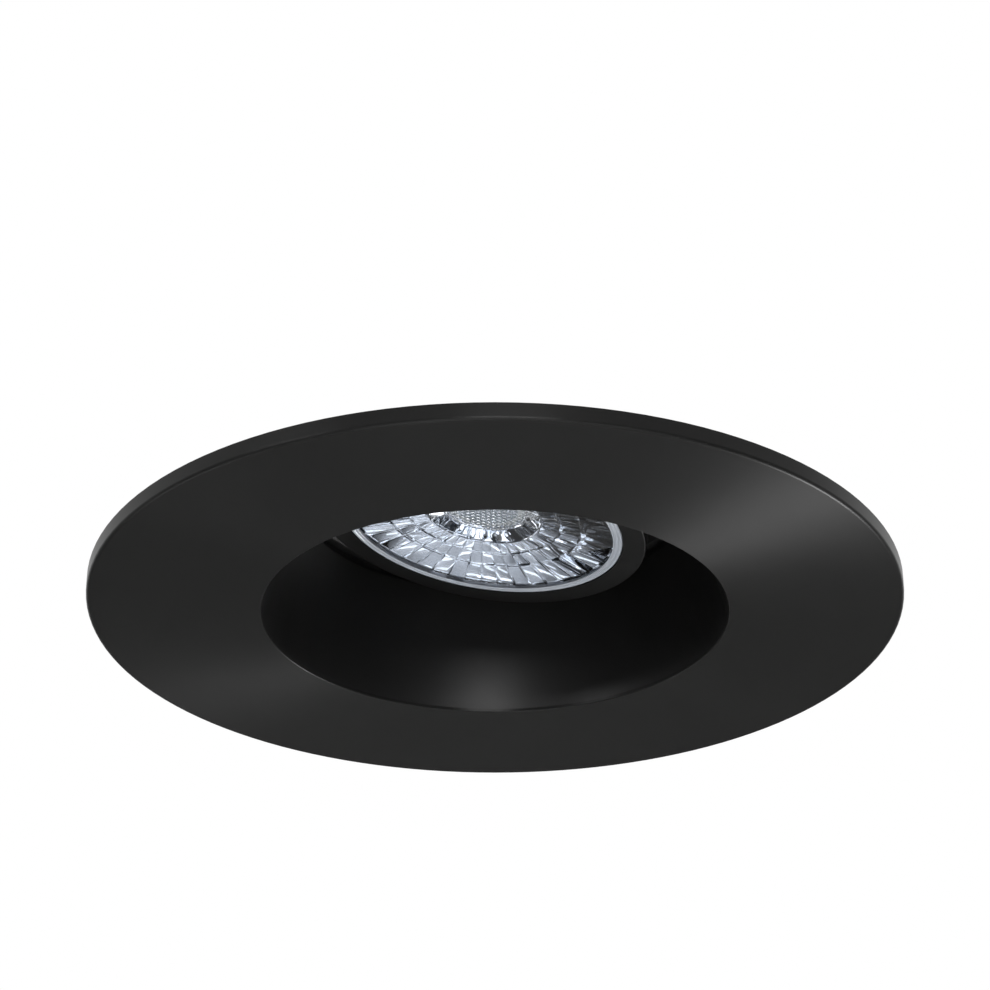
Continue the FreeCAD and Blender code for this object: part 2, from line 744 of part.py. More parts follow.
def lens_rings():
    """Radius, height and half-step turn of each ring of facet corners, from rim to disc."""
    return [
        (size.facet_rim_radius, flange_back, 0),
        (size.facet_outer_radius, front + size.facet_outer_depth, 1),
        (size.facet_middle_radius, front + size.facet_middle_depth, 0),
        (size.facet_inner_radius, front + size.facet_inner_depth, 1),
        (size.facet_disc_radius, disc_back, 0),
    ]


def facet_bowl():
    """Closed solid of triangular facets between the lens flange and the disc at its back."""
    count = int(round(size.facet_count.value))
    rings = []
    for radius, height, turn in lens_rings():
        step = 2 * math.pi / count
        rings.append(
            [
                Vector(
                    radius.value * math.cos(step * (i + turn / 2)),
                    radius.value * math.sin(step * (i + turn / 2)),
                    height.value,
                )
                for i in range(count)
            ]
        )
    faces = []
    for number, (low, high) in enumerate(zip(rings, rings[1:])):
        ahead = number % 2 == 0
        for i in range(count):
            j = (i + 1) % count
            if ahead:
                triangles = ((low[i], low[j], high[i]), (low[j], high[j], high[i]))
            else:
                triangles = ((low[i], low[j], high[j]), (low[i], high[j], high[i]))
            for triangle in triangles:
                faces.append(Part.Face(Part.makePolygon(list(triangle) + [triangle[0]])))
    for rim in (rings[0], rings[-1]):
        faces.append(Part.Face(Part.makePolygon(rim + [rim[0]])))
    shell = Part.makeShell(faces)
    shell.sewShape()
    solid = Part.makeSolid(shell)
    if solid.Volume < 0:
        solid.reverse()
    return solid


def make_lens():
    """Clear lens: flat front flush with the bezel, a flange behind it, a faceted back."""
    disc = Part.makeCylinder(size.lens_radius.value, size.bezel_lip.value, Vector(0, 0, front.value))
    flange = Part.makeCylinder(lens_flange_radius.value, size.lens_flange.value, Vector(0, 0, lip_back.value))
    lens = document.addObject("Part::Feature", "lens_solid")
    lens.Shape = disc.fuse([flange, facet_bowl()]).removeSplitter()
    name_part(lens, "lens", True)


def make_lens_seal():
    """Rubber ring between the lens flange and the cup's rim."""
    outer = lens_flange_radius
    body = ring("seal", outer - size.seal_width, outer, flange_back, cup_rim)
    name_part(body, "lens_seal", True)


def make_reflector():
    """Metallised bowl behind the lens, standing on the cup's floor by its outer skirt."""
    outer = cup_inner - size.reflector_side_gap
    skirt = outer - size.reflector_wall
    wall = size.reflector_wall
    gap = size.reflector_gap
    hole = size.facet_disc_radius + size.reflector_hole_gap
    hole_back = board_front - size.holder_gap
    inner_rings = [(radius, height + gap) for radius, height, _ in lens_rings()[1:4]]
    rim = flange_back + gap
    body = turned(
        "reflector",
        [(outer, rim), (size.facet_rim_radius, rim)]
        + inner_rings
        + [(hole, disc_back), (hole, hole_back), (inner_rings[2][0], inner_rings[2][1] + wall)]
        + [(radius, height + wall) for radius, height in reversed(inner_rings[:2])]
        + [(skirt, rim + wall), (skirt, cup_floor), (outer, cup_floor)],
    )
    name_part(body, "reflector", True)


def make_light_source():
    """Emitting disc on its square carrier, the pad behind it and the holder over its corners."""
    emitter = cylinder("emitter", size.emitter_radius, size.emitter_height, z=emitter_front)
    name_part(group("emitter_group", [emitter]), "led_emitter", True)
    half = size.board_side / 2
    board = block("board", (-half, -half, board_front), (half, half, board_back))
    name_part(group("board_group", [board]), "led_board", True)
    pad = block("pad", (-half, -half, board_back), (half, half, cup_floor))
    name_part(group("pad_group", [pad]), "thermal_pad", True)
    holder_front = board_front - size.holder_lap
    blank = ring("holder_blank", size.holder_bore, size.holder_radius, holder_front, cup_floor)
    room = half + size.holder_gap
    pocket = block("holder_pocket", (-room, -room, board_front), (room, room, cup_floor + 1))
    slot_half = size.wire_hole_radius + size.holder_gap
    slot = block(
        "holder_slot",
        (size.holder_bore - 1, -slot_half, holder_front - 1),
        (size.gland_offset + slot_half, slot_half, cup_floor + 1),
    )
    holes = holder_screw_shapes("holder_hole", size.screw_gap)
    name_part(cut("holder", blank, [pocket, slot] + holes), "led_holder", True)


def holder_screw_shapes(name, gap):
    """The shanks of the holder's two screws, through the holder into the base plate."""
    top = board_front - size.holder_lap
    shapes = []
    for side, sign in SIDES:
        y = size.holder_screw_circle * sign
        radius = size.holder_screw_radius + gap
        shapes.append(cylinder(f"{name}_{side}", radius, size.holder_screw_length + gap, 0, y, top))
    return shapes


def make_holder_screws():
    """Two screws that press the holder onto the chip carrier."""
    head_low = board_front - size.holder_lap - size.holder_head_height
    shanks = holder_screw_shapes("holder_shank", size.screw_gap * 0)
    screws = []
    for (side, sign), shank in zip(SIDES, shanks):
        y = size.holder_screw_circle * sign
        head = cylinder(
            f"holder_head_{side}", size.holder_head_radius, size.holder_head_height, 0, y, head_low
        )
        key = socket_head(
            f"holder_key_{side}", size.holder_key_radius, size.holder_key_depth, 0, y, head_low
        )
        screws.append(cut(f"holder_screw_{side}", fuse(f"holder_blank_{side}", [shank, head]), [key]))
    name_part(group("holder_screw_pair", screws), "holder_screws", True)


def make_heat_sink():
    """Cast cup, base plate, core and radial fins, with pivot bosses and a seat for the gland."""
    body = turned(
        "sink_turned",
        [
            (0, cup_floor),
            (cup_inner, cup_floor),
            (cup_inner, cup_rim),
            (cup_outer, cup_rim),
            (cup_outer, base_top),
            (size.sink_core_radius, base_top),
            (size.sink_core_radius, sink_top),
            (0, sink_top),
        ],
    )
    half = size.fin_thickness / 2
    tip = cup_outer - size.fin_setback
    start = size.sink_core_radius / 2
    sketch = draw(body, "fin_outline", "XY_Plane", [(start, -half), (tip, -half), (tip, half), (start, half)])
    bind(sketch, "AttachmentOffset.Base.z", base_top - size.pad_thickness)
    fin = body.newObject("PartDesign::Pad", "fin")
    fin.Profile = sketch
    bind(fin, "Length", size.sink_height + size.pad_thickness)
    fins = body.newObject("PartDesign::PolarPattern", "fins")
    fins.Originals = [fin]
    fins.Axis = (sketch, ["N_Axis"])
    fins.Angle = 360
    fins.Occurrences = int(size.fin_count.value)
    bind(fins, "Occurrences", size.fin_count)
    body.Tip = fins
    document.recompute()

    room = cylinder("gland_clearing", size.gland_room, size.gland_seat_drop + 1, size.gland_offset, 0, gland_seat)
    cleared = cut("sink_cleared", body, [room])
    seat_height = gland_seat - base_top + size.pad_thickness
    boss = cylinder(
        "gland_boss", size.gland_boss_radius, seat_height, size.gland_offset, 0, base_top - size.pad_thickness
    )
    pieces = [cleared, boss]
    holes = [
        cylinder(
            "gland_socket",
            size.gland_spigot_radius + size.screw_gap,
            size.gland_spigot_length + 1,
            size.gland_offset,
            0,
            gland_seat - size.gland_spigot_length,
        ),
        cylinder(
            "wire_way", size.wire_hole_radius, gland_seat - cup_floor + 2, size.gland_offset, 0, cup_floor - 1
        ),
    ]
    boss_start = size.sink_core_radius * 2
    for name, side in SIDES:
        low = boss_start if side > 0 else -boss_end
        pieces.append(
            cylinder(f"pivot_boss_{name}", size.pivot_boss_radius, boss_end - boss_start, 0, low, 0, "Y")
        )
        depth = size.pivot_thread_length + size.screw_gap
        thread_low = boss_end - depth if side > 0 else -boss_end - 1
        radius = size.pivot_thread_radius + size.screw_gap
        holes.append(cylinder(f"pivot_socket_{name}", radius, depth + 1, 0, thread_low, 0, "Y"))
    # the bosses reach below the base plate, so the cup is cleared again
    holes.append(cylinder("cup_room", cup_inner, cup_floor - cup_rim, z=cup_rim))
    holes += grub_holes("cup", size.screw_gap)
    holes += holder_screw_shapes("base_hole", size.screw_gap)
    name_part(cut("sink", fuse("sink_blank", pieces), holes), "heat_sink", True)


def make_pivots():
    """Shoulder screws through the ears into the bosses, and the friction washers between."""
    screws, washers = [], []
    shoulder = size.washer_thickness + size.running_gap + size.ear_thickness + size.running_gap
    head_seat = boss_end + shoulder
    for name, side in SIDES:
        spans = (
            ("thread", size.pivot_thread_radius, boss_end - size.pivot_thread_length, boss_end),
            ("shoulder", size.shoulder_radius, boss_end, head_seat),
            ("head", size.pivot_head_radius, head_seat, head_seat + size.pivot_head_height),
        )
        pieces = []
        for piece, radius, near, far in spans:
            low = near if side > 0 else -far
            pieces.append(cylinder(f"pivot_{piece}_{name}", radius, far - near, 0, low, 0, "Y"))
        key_low = head_seat + size.pivot_head_height - size.key_depth
        low = key_low if side > 0 else -(key_low + size.key_depth)
        key = socket_head(
            f"pivot_key_{name}", size.pivot_key_radius, size.key_depth, y=low, axis=(1, 0, 0), angle=-90
        )
        screws.append(cut(f"pivot_screw_{name}", fuse(f"pivot_blank_{name}", pieces), [key]))
        outer = size.pivot_boss_radius + size.washer_margin
        low = boss_end if side > 0 else -(boss_end + size.washer_thickness)
        disc = cylinder(f"washer_disc_{name}", outer, size.washer_thickness, 0, low, 0, "Y")
        hole = cylinder(
            f"washer_hole_{name}",
            size.shoulder_radius + size.pivot_gap,
            size.washer_thickness + 2,
            0,
            low - 1,
            0,
            "Y",
        )
        washers.append(cut(f"washer_{name}", disc, [hole]))
    name_part(group("pivot_screw_pair", screws), "pivot_screws", True)
    name_part(group("washer_pair", washers), "pivot_washers", True)


def make_gland():
    """Gland body, cap nut and the rubber sleeve that grips the cable."""
    x = size.gland_offset
    hex_top = gland_seat + size.gland_hex_height
    body = fuse(
        "gland_blank",
        [
            hexagon("gland_hex", size.gland_hex_radius, size.gland_hex_height, x, gland_seat),
            cylinder(
                "gland_spigot",
                size.gland_spigot_radius,
                size.gland_spigot_length,
                x,
                0,
                gland_seat - size.gland_spigot_length,
            ),
            cylinder("gland_stem", size.gland_stem_radius, size.gland_stem_height, x, 0, hex_top),
        ],
    )
    length = size.gland_spigot_length + size.gland_hex_height + size.gland_stem_height
    through = cylinder("gland_through", size.wire_hole_radius, length + 2, x, 0, gland_seat - size.gland_spigot_length - 1)
    sleeve_radius = size.cable_bore + size.gland_seal_wall
    sleeve_room = cylinder(
        "gland_sleeve_room", sleeve_radius, size.gland_stem_height + 1, x, 0, hex_top
    )
    name_part(cut("gland", body, [through, sleeve_room]), "cable_gland", True)

    sleeve = cylinder("sleeve_outer", sleeve_radius, size.gland_stem_height, x, 0, hex_top)
    sleeve_bore = cylinder("sleeve_bore", size.cable_bore, size.gland_stem_height + 2, x, 0, hex_top - 1)
    name_part(cut("sleeve", sleeve, [sleeve_bore]), "gland_seal", True)

    nut_bottom = hex_top
    nut = hexagon("nut_hex", size.gland_hex_radius, nut_height, x, nut_bottom)
    dome = document.addObject("Part::Cone", "nut_dome")
    nut_top = nut_bottom + nut_height
    dome_drop = nut_height + size.gland_hex_radius
    bind(dome, "Radius1", size.cable_bore + size.gland_seal_wall + dome_drop)
    bind(dome, "Radius2", size.cable_bore + size.gland_seal_wall)
    bind(dome, "Height", dome_drop)
    place(dome, x=x, z=nut_top - dome_drop)
    shaped = document.addObject("Part::MultiCommon", "nut_shaped")
    shaped.Shapes = [nut, dome]
    inside = cylinder(
        "nut_thread",
        size.gland_stem_radius + size.screw_gap,
        size.gland_stem_height + size.screw_gap + 1,
        x,
        0,
        nut_bottom - 1,
    )
    entry = cylinder("nut_entry", size.cable_bore, nut_height + 2, x, 0, nut_bottom - 1)
    name_part(cut("nut", shaped, [inside, entry]), "gland_nut", True)


# ---- board clips ------------------------------------------------------------------------------


def make_clip_arm():
    """Right arm: a folded channel whose web bears on the board through its pad."""
    tip = pin_x + size.clip_reach
    web = block("arm_web", (pin_x + size.clip_heel, -arm_side, web_bottom), (tip, arm_side, web_top))
    pieces = [web]
    corners = [
        (pin_x, web_bottom),
        (tip, web_bottom),
        (tip, web_bottom + size.clip_tip_height),
        (pin_x, pin_z + size.clip_eye_radius),
    ]
    for side, low, high in (("near", -arm_side, -arm_side_inside), ("far", arm_side_inside, arm_side)):
        pieces.append(eye_plate(f"arm_{side}", size.clip_eye_radius, low, high, corners))
    width = size.clip_width + 2
    hole = cylinder("arm_hole", size.pin_radius + size.pivot_gap, width, pin_x, width / -2, pin_z, "Y")
    return cut("arm_right", fuse("arm_blank", pieces), [hole])


def make_clip_pad():
    """Right pad: rubber under the arm's tip, turned up round its end."""
    tip = pin_x + size.clip_reach
    sole = block(
        "pad_sole",
        (tip - size.pad_reach, -arm_side, size.board_space),
        (tip + size.pad_lip, arm_side, web_bottom),
    )
    lip = block("pad_end", (tip, -arm_side, size.board_space), (tip + size.pad_lip, arm_side, web_top))
    return fuse("pad_right", [sole, lip])


def make_clip_pin():
    """Right pin, headed at both ends."""
    reach = arm_side + size.side_gap / 4
    pieces = [cylinder("pin_shank", size.pin_radius, reach * 2, pin_x, -reach, pin_z, "Y")]
    for name, y in (("near", -(reach + size.pin_head_height)), ("far", reach)):
        pieces.append(
            cylinder(f"pin_head_{name}", size.pin_head_radius, size.pin_head_height, pin_x, y, pin_z, "Y")
        )
    return fuse("pin_right", pieces)


def biarc(start, start_way, end, end_way):
    """Two arcs that leave start along start_way and reach end along end_way."""
    chord = end - start
    both = start_way + end_way
    a = both.dot(both) - 4
    b = -2 * chord.dot(both)
    c = chord.dot(chord)
    reach = (-b - math.sqrt(b * b - 4 * a * c)) / (2 * a)
    knee_in = start + start_way * reach
    knee_out = end - end_way * reach
    joint = (knee_in + knee_out) * 0.5
    arcs = []
    for first, knee, last in ((start, knee_in, joint), (joint, knee_out, end)):
        half_chord = (last - first).Length / 2
        middle = (first + last) * 0.5
        rise = (knee - middle).Length
        # the arc that is tangent to both lines at first and last rises this far from its chord
        leg = math.hypot(half_chord, rise)
        arc_rise = half_chord * rise / (leg + half_chord)
        top = middle + (knee - middle) * (arc_rise / rise)
        arcs.append(Part.Arc(first, top, last).toShape())
    return arcs


def make_clip_spring():
    """Right spring: a leg up the carrier's wall, the turns round the pin, a leg on the arm."""
    radius = size.coil_radius.value
    advance = size.coil_pitch.value / (2 * math.pi)
    quarters = int(round(size.coil_turns.value)) * 4 + 1
    start_y = -advance * quarters * math.pi / 4

    def spot(quarter):
        turn = math.pi + quarter * math.pi / 2
        y = start_y + advance * quarter * math.pi / 2
        return Vector(pin_x.value + radius * math.cos(turn), y, pin_z.value + radius * math.sin(turn))

    def way(quarter):
        turn = math.pi + quarter * math.pi / 2
        return Vector(-radius * math.sin(turn), advance, radius * math.cos(turn)).normalize()

    wall_end = spot(0) - way(0) * size.wall_leg.value
    arm_end = spot(quarters) + way(quarters) * size.arm_leg.value
    edges = [Part.LineSegment(wall_end, spot(0)).toShape()]
    for quarter in range(quarters):
        edges += biarc(spot(quarter), way(quarter), spot(quarter + 1), way(quarter + 1))
    edges.append(Part.LineSegment(spot(quarters), arm_end).toShape())
    path = Part.Wire(edges)
    section = Part.Wire([Part.Circle(wall_end, way(0), size.wire_radius.value).toShape()])
    solid = path.makePipeShell([section], True, False)

    points = path.discretize(Distance=0.25)
    apart = 3.0 * size.wire_radius.value
    skip = int(math.ceil(2 * math.pi * radius * 0.75 / 0.25))
    nearest = min(
        (points[i] - points[k]).Length
        for i in range(len(points))
        for k in range(i + skip, len(points))
    )
    gap = nearest - 2 * size.wire_radius.value
    print(f"clip spring: wire {path.Length:.1f} mm long, least gap to itself {gap:.2f} mm")
    print(f"clip spring: volume {solid.Volume:.2f}, section times length "
          f"{math.pi * size.wire_radius.value ** 2 * path.Length:.2f} mm3")
    spring = document.addObject("Part::Feature", "spring_right")
    spring.Shape = solid
    return spring


def make_clips():
    """Both clips: the right one as made, and its mirror image."""
    for name, maker in (
        ("clip_arm", make_clip_arm),
        ("clip_pad", make_clip_pad),
        ("clip_pin", make_clip_pin),
        ("clip_spring", make_clip_spring),
    ):
        right = maker()
        name_part(right, name + "_right")
        name_part(mirrored(name + "_mirror", right), name + "_left")


# ---- build, check, write ----------------------------------------------------------------------

make_trim_ring()
make_baffle()
make_gasket()
make_carrier()
make_swivel_ring()
make_retainer()
make_long_screws()
make_bezel()
make_bezel_screws()
make_lens()
make_lens_seal()
make_reflector()
make_light_source()
make_holder_screws()
make_heat_sink()
make_pivots()
make_gland()
make_clips()
document.recompute()

for thing in document.Objects:
    if {"Invalid", "Error"} & set(thing.State):
        raise RuntimeError(f"{thing.Name} did not build: {thing.State}")
for part in parts:
    shape = part.Shape
    if shape.isNull() or not shape.isValid() or not shape.Solids:
        raise RuntimeError(f"{part.Label} is not a valid solid")
    if shape.Volume <= 0:
        raise RuntimeError(f"{part.Label} is inside out")

os.makedirs("parts", exist_ok=True)
for part in parts:
    part.Shape.exportStep(f"parts/{part.Label}.step")
    print(f"{part.Label}: {len(part.Shape.Solids)} solid, {part.Shape.Volume:.1f} mm3")
for meaning, value in (
    ("flange radius", flange_radius),
    ("cut-out radius", cutout_radius),
    ("screw circle radius", bolt_circle),
    ("tilt axis height", pivot_z),
    ("clip pin from the middle", pin_x),
    ("clip pin height", pin_z),
    ("cable entry, above the tilt axis", gland_seat + size.gland_hex_height + nut_height),
):
    print(f"{meaning}: {value.value:.4f} mm")
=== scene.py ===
"""Studio scene of a round black soffit downlight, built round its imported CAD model.

The lamp hangs in a white soffit and is seen from below and in front. Sizes are in millimetres
unless a name says otherwise; finished pieces are in metres, in the CAD frame.
"""

from __future__ import annotations

import json
import logging
import math
import random
from dataclasses import dataclass
from enum import Enum
from typing import Mapping, Sequence

import bmesh
import bpy
from mathutils import Matrix, Vector, noise

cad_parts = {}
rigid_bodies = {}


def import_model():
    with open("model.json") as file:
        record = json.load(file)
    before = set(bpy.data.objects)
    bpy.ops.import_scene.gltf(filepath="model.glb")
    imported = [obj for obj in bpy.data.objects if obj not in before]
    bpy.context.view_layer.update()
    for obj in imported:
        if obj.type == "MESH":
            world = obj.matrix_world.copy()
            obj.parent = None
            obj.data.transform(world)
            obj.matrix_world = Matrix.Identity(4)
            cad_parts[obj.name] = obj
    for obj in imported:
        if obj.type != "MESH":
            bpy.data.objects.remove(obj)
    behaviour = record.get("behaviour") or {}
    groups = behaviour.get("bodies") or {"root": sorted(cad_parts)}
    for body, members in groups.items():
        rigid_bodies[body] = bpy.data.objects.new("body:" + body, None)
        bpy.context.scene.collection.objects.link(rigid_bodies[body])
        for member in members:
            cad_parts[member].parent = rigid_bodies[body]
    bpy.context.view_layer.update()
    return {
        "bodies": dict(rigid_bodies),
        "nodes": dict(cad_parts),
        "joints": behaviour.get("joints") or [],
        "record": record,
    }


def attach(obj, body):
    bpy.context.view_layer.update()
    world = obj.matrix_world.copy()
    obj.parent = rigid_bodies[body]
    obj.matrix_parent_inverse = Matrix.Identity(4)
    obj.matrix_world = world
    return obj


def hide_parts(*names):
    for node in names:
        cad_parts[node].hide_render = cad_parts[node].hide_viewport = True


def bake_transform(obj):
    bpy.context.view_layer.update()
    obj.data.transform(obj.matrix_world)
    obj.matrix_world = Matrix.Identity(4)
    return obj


LOG = logging.getLogger("downlight")
METRE = 0.001  # metres in a millimetre
NEAR = 1e-3  # what is this close to a surface or a border, in millimetres or as a share, lies on it
HAIR = 1e-4  # points this close are one
SLIVER = 1e-5  # an edge this short is dropped
PATCH_STOPS = ((0.35, 0.0), (0.7, 1.0))
PATCH_SHARE = 0.6
GRAIN_SHARE = 0.4
SEEN = ("Is Camera Ray", "Is Glossy Ray", "Is Transmission Ray")
MIRRORED = ("Is Glossy Ray", "Is Transmission Ray")
WHITE = (1.0, 1.0, 1.0)
PALE = (0.8, 0.8, 0.8)
BLACK = (0.0, 0.0, 0.0)
Colour = tuple[float, float, float]
Spot = tuple[float, float, float]
Point = tuple[float, float]


class Pattern(Enum):
    """How the surface of a finish is broken up."""

    SPRAY = "sprayed paint"
    TURNED = "turned rings"
    CAST = "die casting"
    SPANGLE = "zinc plating"
    DRAWN = "drawn wire"
    FOAM = "cell foam"
    MOULDED = "moulded plastic"


class Wire:
    """A node's output socket that takes part in sums, each of which adds a Math node."""

    def __init__(self, graph: "Graph", socket: bpy.types.NodeSocket) -> None:
        """Wraps a socket.

        Args:
            graph: the graph that the socket's node is in.
            socket: the output.
        """
        self.graph = graph
        self.socket = socket

    def _sum(self, operation: str, first: object, second: object) -> "Wire":
        """One Math node.

        Args:
            operation: Blender's name for the sum.
            first: a wire or a number.
            second: a wire or a number.

        Returns:
            The result's wire.
        """
        return self.graph.node("ShaderNodeMath", {"operation": operation}, {0: first, 1: second})

    def __add__(self, other: object) -> "Wire":
        """self + other."""
        return self._sum("ADD", self, other)

    __radd__ = __add__

    def __mul__(self, other: object) -> "Wire":
        """self * other."""
        return self._sum("MULTIPLY", self, other)

    __rmul__ = __mul__

    def __sub__(self, other: object) -> "Wire":
        """self - other."""
        return self._sum("SUBTRACT", self, other)

    def __rsub__(self, other: object) -> "Wire":
        """other - self."""
        return self._sum("SUBTRACT", other, self)

    def __gt__(self, other: object) -> "Wire":
        """1 where self is greater than other."""
        return self._sum("GREATER_THAN", self, other)


class Graph:
    """The nodes of one material or of the world."""

    def __init__(self, tree: bpy.types.NodeTree) -> None:
        """Empties a tree.

        Args:
            tree: the node tree to fill.
        """
        self.tree = tree
        tree.nodes.clear()

    def node(
        self,
        kind: str,
        settings: Mapping[str, object] | None = None,
        inputs: Mapping[str | int, object] | None = None,
        output: str | int = 0,
    ) -> Wire:
        """Makes one node.

        Args:
            kind: the node's type.
            settings: its properties; "stops" holds a ramp's (place, colour) pairs.
            inputs: a value, a wire or a link for each socket, by name or number.
            output: the output to return, by name or number.

        Returns:
            That output's wire, or a wire on the node itself when it has no outputs.
        """
        made = self.tree.nodes.new(kind)
        for name, value in (settings or {}).items():
            if name == "stops":
                self._stops(made.color_ramp, value)
            else:
                setattr(made, name, value)
        for key, value in (inputs or {}).items():
            socket = self._socket(made.inputs, key)
            if isinstance(value, Wire):
                self.tree.links.new(value.socket, socket)
            elif isinstance(value, tuple) and len(value) == 3 and socket.type == "RGBA":
                socket.default_value = (*value, 1.0)
            else:
                socket.default_value = value
        return Wire(self, self._socket(made.outputs, output) if len(made.outputs) else None)

    @staticmethod
    def _stops(ramp: bpy.types.ColorRamp, stops: Sequence[tuple[float, float]]) -> None:
        """Sets a ramp's stops, as greys.

        Args:
            ramp: the ramp.
            stops: (place, grey) pairs, in order.
        """
        while len(ramp.elements) < len(stops):
            ramp.elements.new(1.0)
        for element, (place, grey) in zip(ramp.elements, stops):
            element.position = place
            element.color = (grey, grey, grey, 1.0)

    @staticmethod
    def _socket(sockets: bpy.types.bpy_prop_collection, key: str | int) -> bpy.types.NodeSocket:
        """Finds a socket.

        Args:
            sockets: a node's inputs or outputs.
            key: its number, or its name among those in use.

        Returns:
            The socket.
        """
        if isinstance(key, int):
            return sockets[key]
        return next(s for s in sockets if s.name == key and s.enabled)

    def noise(self, place: Wire, size: float, detail: float = 2.0) -> Wire:
        """Noise from 0 to 1.

        Args:
            place: where on the piece, in metres.
            size: the size of one patch, in millimetres.
            detail: how many finer layers lie on it.

        Returns:
            The noise.
        """
        sockets = {"Vector": place, "Scale": 1.0 / (size * METRE), "Detail": detail}
        return self.node("ShaderNodeTexNoise", {}, sockets, "Fac")

    def mix(self, share: Wire, first: object, second: object) -> Wire:
        """A colour between two.

        Args:
            share: 0 for the first, 1 for the second.
            first: a colour or a wire.
            second: a colour or a wire.

        Returns:
            The mixed colour.
        """
        sockets = {"Factor": share, "A": first, "B": second}
        return self.node("ShaderNodeMix", {"data_type": "RGBA"}, sockets, "Result")


def start_material(label: str) -> tuple[bpy.types.Material, Graph]:
    """Starts a material with no nodes.

    Args:
        label: its name.

    Returns:
        The material and its graph.
    """
    made = bpy.data.materials.new(label)
    made.use_nodes = True
    return made, Graph(made.node_tree)


@dataclass(frozen=True)
class Finish:
    """One surface finish: two colours that wander into each other, a sheen and a relief."""

    label: str
    colour: Colour
    patches: Colour
    roughness: tuple[float, float]
    pattern: Pattern
    metallic: float = 0.0
    specular: float = 0.5
    patch_size: float = 5.0
    grain_size: float = 0.2
    relief: float = 0.01
    leaned: bool = False
    stretch: float = 0.0
    stretch_turn: float = 0.0

    def material(self, lean: Matrix) -> bpy.types.Material:
        """Builds the finish.

        Args:
            lean: turns the module's own frame into the frame of the lamp.

        Returns:
            The material.
        """
        made, graph = start_material(self.label)
        place = graph.node("ShaderNodeTexCoord", output="Object")
        if self.leaned:
            back = lean.inverted()
            sockets = {"Vector": place, "Location": back.to_translation(), "Rotation": back.to_euler()}
            place = graph.node("ShaderNodeMapping", {"vector_type": "POINT"}, sockets)
        patches = graph.noise(place, self.patch_size, 3.0)
        share = graph.node("ShaderNodeValToRGB", {"stops": PATCH_STOPS}, {"Fac": patches})
        height, contrast = self._relief(graph, place)
        blend = share * PATCH_SHARE + contrast * GRAIN_SHARE
        low, high = self.roughness
        normal = graph.node(
            "ShaderNodeBump", {}, {"Strength": 1.0, "Distance": self.relief * METRE, "Height": height}
        )
        shader = graph.node(
            "ShaderNodeBsdfPrincipled",
            {},
            {
                "Base Color": graph.mix(blend, self.colour, self.patches),
                "Roughness": low + patches * (high - low),
                "Metallic": self.metallic,
                "Specular IOR Level": self.specular,
                "Anisotropic": self.stretch,
                "Anisotropic Rotation": self.stretch_turn,
                "Normal": normal,
            },
        )
        graph.node("ShaderNodeOutputMaterial", {}, {"Surface": shader})
        return made

    def _relief(self, graph: Graph, place: Wire) -> tuple[Wire, Wire]:
        """The fine relief of the pattern.

        Args:
            graph: the material's graph.
            place: where on the piece.

        Returns:
            The relief's height and the share of the second colour that goes with it.
        """
        grain = graph.noise(place, self.grain_size)
        if self.pattern is Pattern.TURNED:
            return self._rings(graph, place) + grain * 0.25, grain
        if self.pattern in (Pattern.SPANGLE, Pattern.FOAM):
            sockets = {"Vector": place, "Scale": 1.0 / (self.grain_size * METRE)}
            cells = graph.node("ShaderNodeTexVoronoi", {}, sockets, "Distance")
            if self.pattern is Pattern.FOAM:
                return cells + grain * 0.3, 1.0 - cells
            tones = graph.node("ShaderNodeTexVoronoi", {}, sockets, "Color")
            return grain * 0.6 + cells * 0.2, graph.node("ShaderNodeSeparateColor", {}, {"Color": tones})
        if self.pattern is Pattern.CAST:
            return grain + graph.noise(place, self.grain_size * 5.0) * 0.6, grain
        return grain, grain

    def _rings(self, graph: Graph, place: Wire) -> Wire:
        """Fine rings round the piece's own axis, as a lathe leaves them.

        Args:
            graph: the material's graph.
            place: where on the piece.

        Returns:
            The rings' height.
        """
        flat = graph.node(
            "ShaderNodeVectorMath", {"operation": "MULTIPLY"}, {0: place, 1: (1.0, 1.0, 0.0)}
        )
        radius = graph.node("ShaderNodeVectorMath", {"operation": "LENGTH"}, {0: flat}, "Value")
        sockets = {"W": radius, "Scale": 1.0 / (self.grain_size * METRE), "Detail": 3.0}
        return graph.node("ShaderNodeTexNoise", {"noise_dimensions": "1D"}, sockets, "Fac")


@dataclass(frozen=True)
class ClearFinish:
    """Clear moulded optic."""

    label: str = "clear_optic"
    colour: Colour = (0.93, 0.96, 1.0)
    index: float = 1.49
    roughness: float = 0.0
    clearness: float = 1.0
    wave_size: float = 3.0
    wave_height: float = 0.02

    def material(self, lean: Matrix) -> bpy.types.Material:
        """Builds the finish.

        Args:
            lean: not used by a finish with no pattern of its own place.

        Returns:
            The material.
        """
        made, graph = start_material(self.label)
        place = graph.node("ShaderNodeTexCoord", output="Object")
        waves = graph.noise(place, self.wave_size, 1.0)
        sockets = {"Strength": 1.0, "Distance": self.wave_height * METRE, "Height": waves}
        normal = graph.node("ShaderNodeBump", {}, sockets)
        shader = graph.node(
            "ShaderNodeBsdfPrincipled",
            {},
            {
                "Base Color": self.colour,
                "Roughness": self.roughness,
                "IOR": self.index,
                "Transmission Weight": self.clearness,
                "Normal": normal,
            },
        )
        graph.node("ShaderNodeOutputMaterial", {}, {"Surface": shader})
        return made


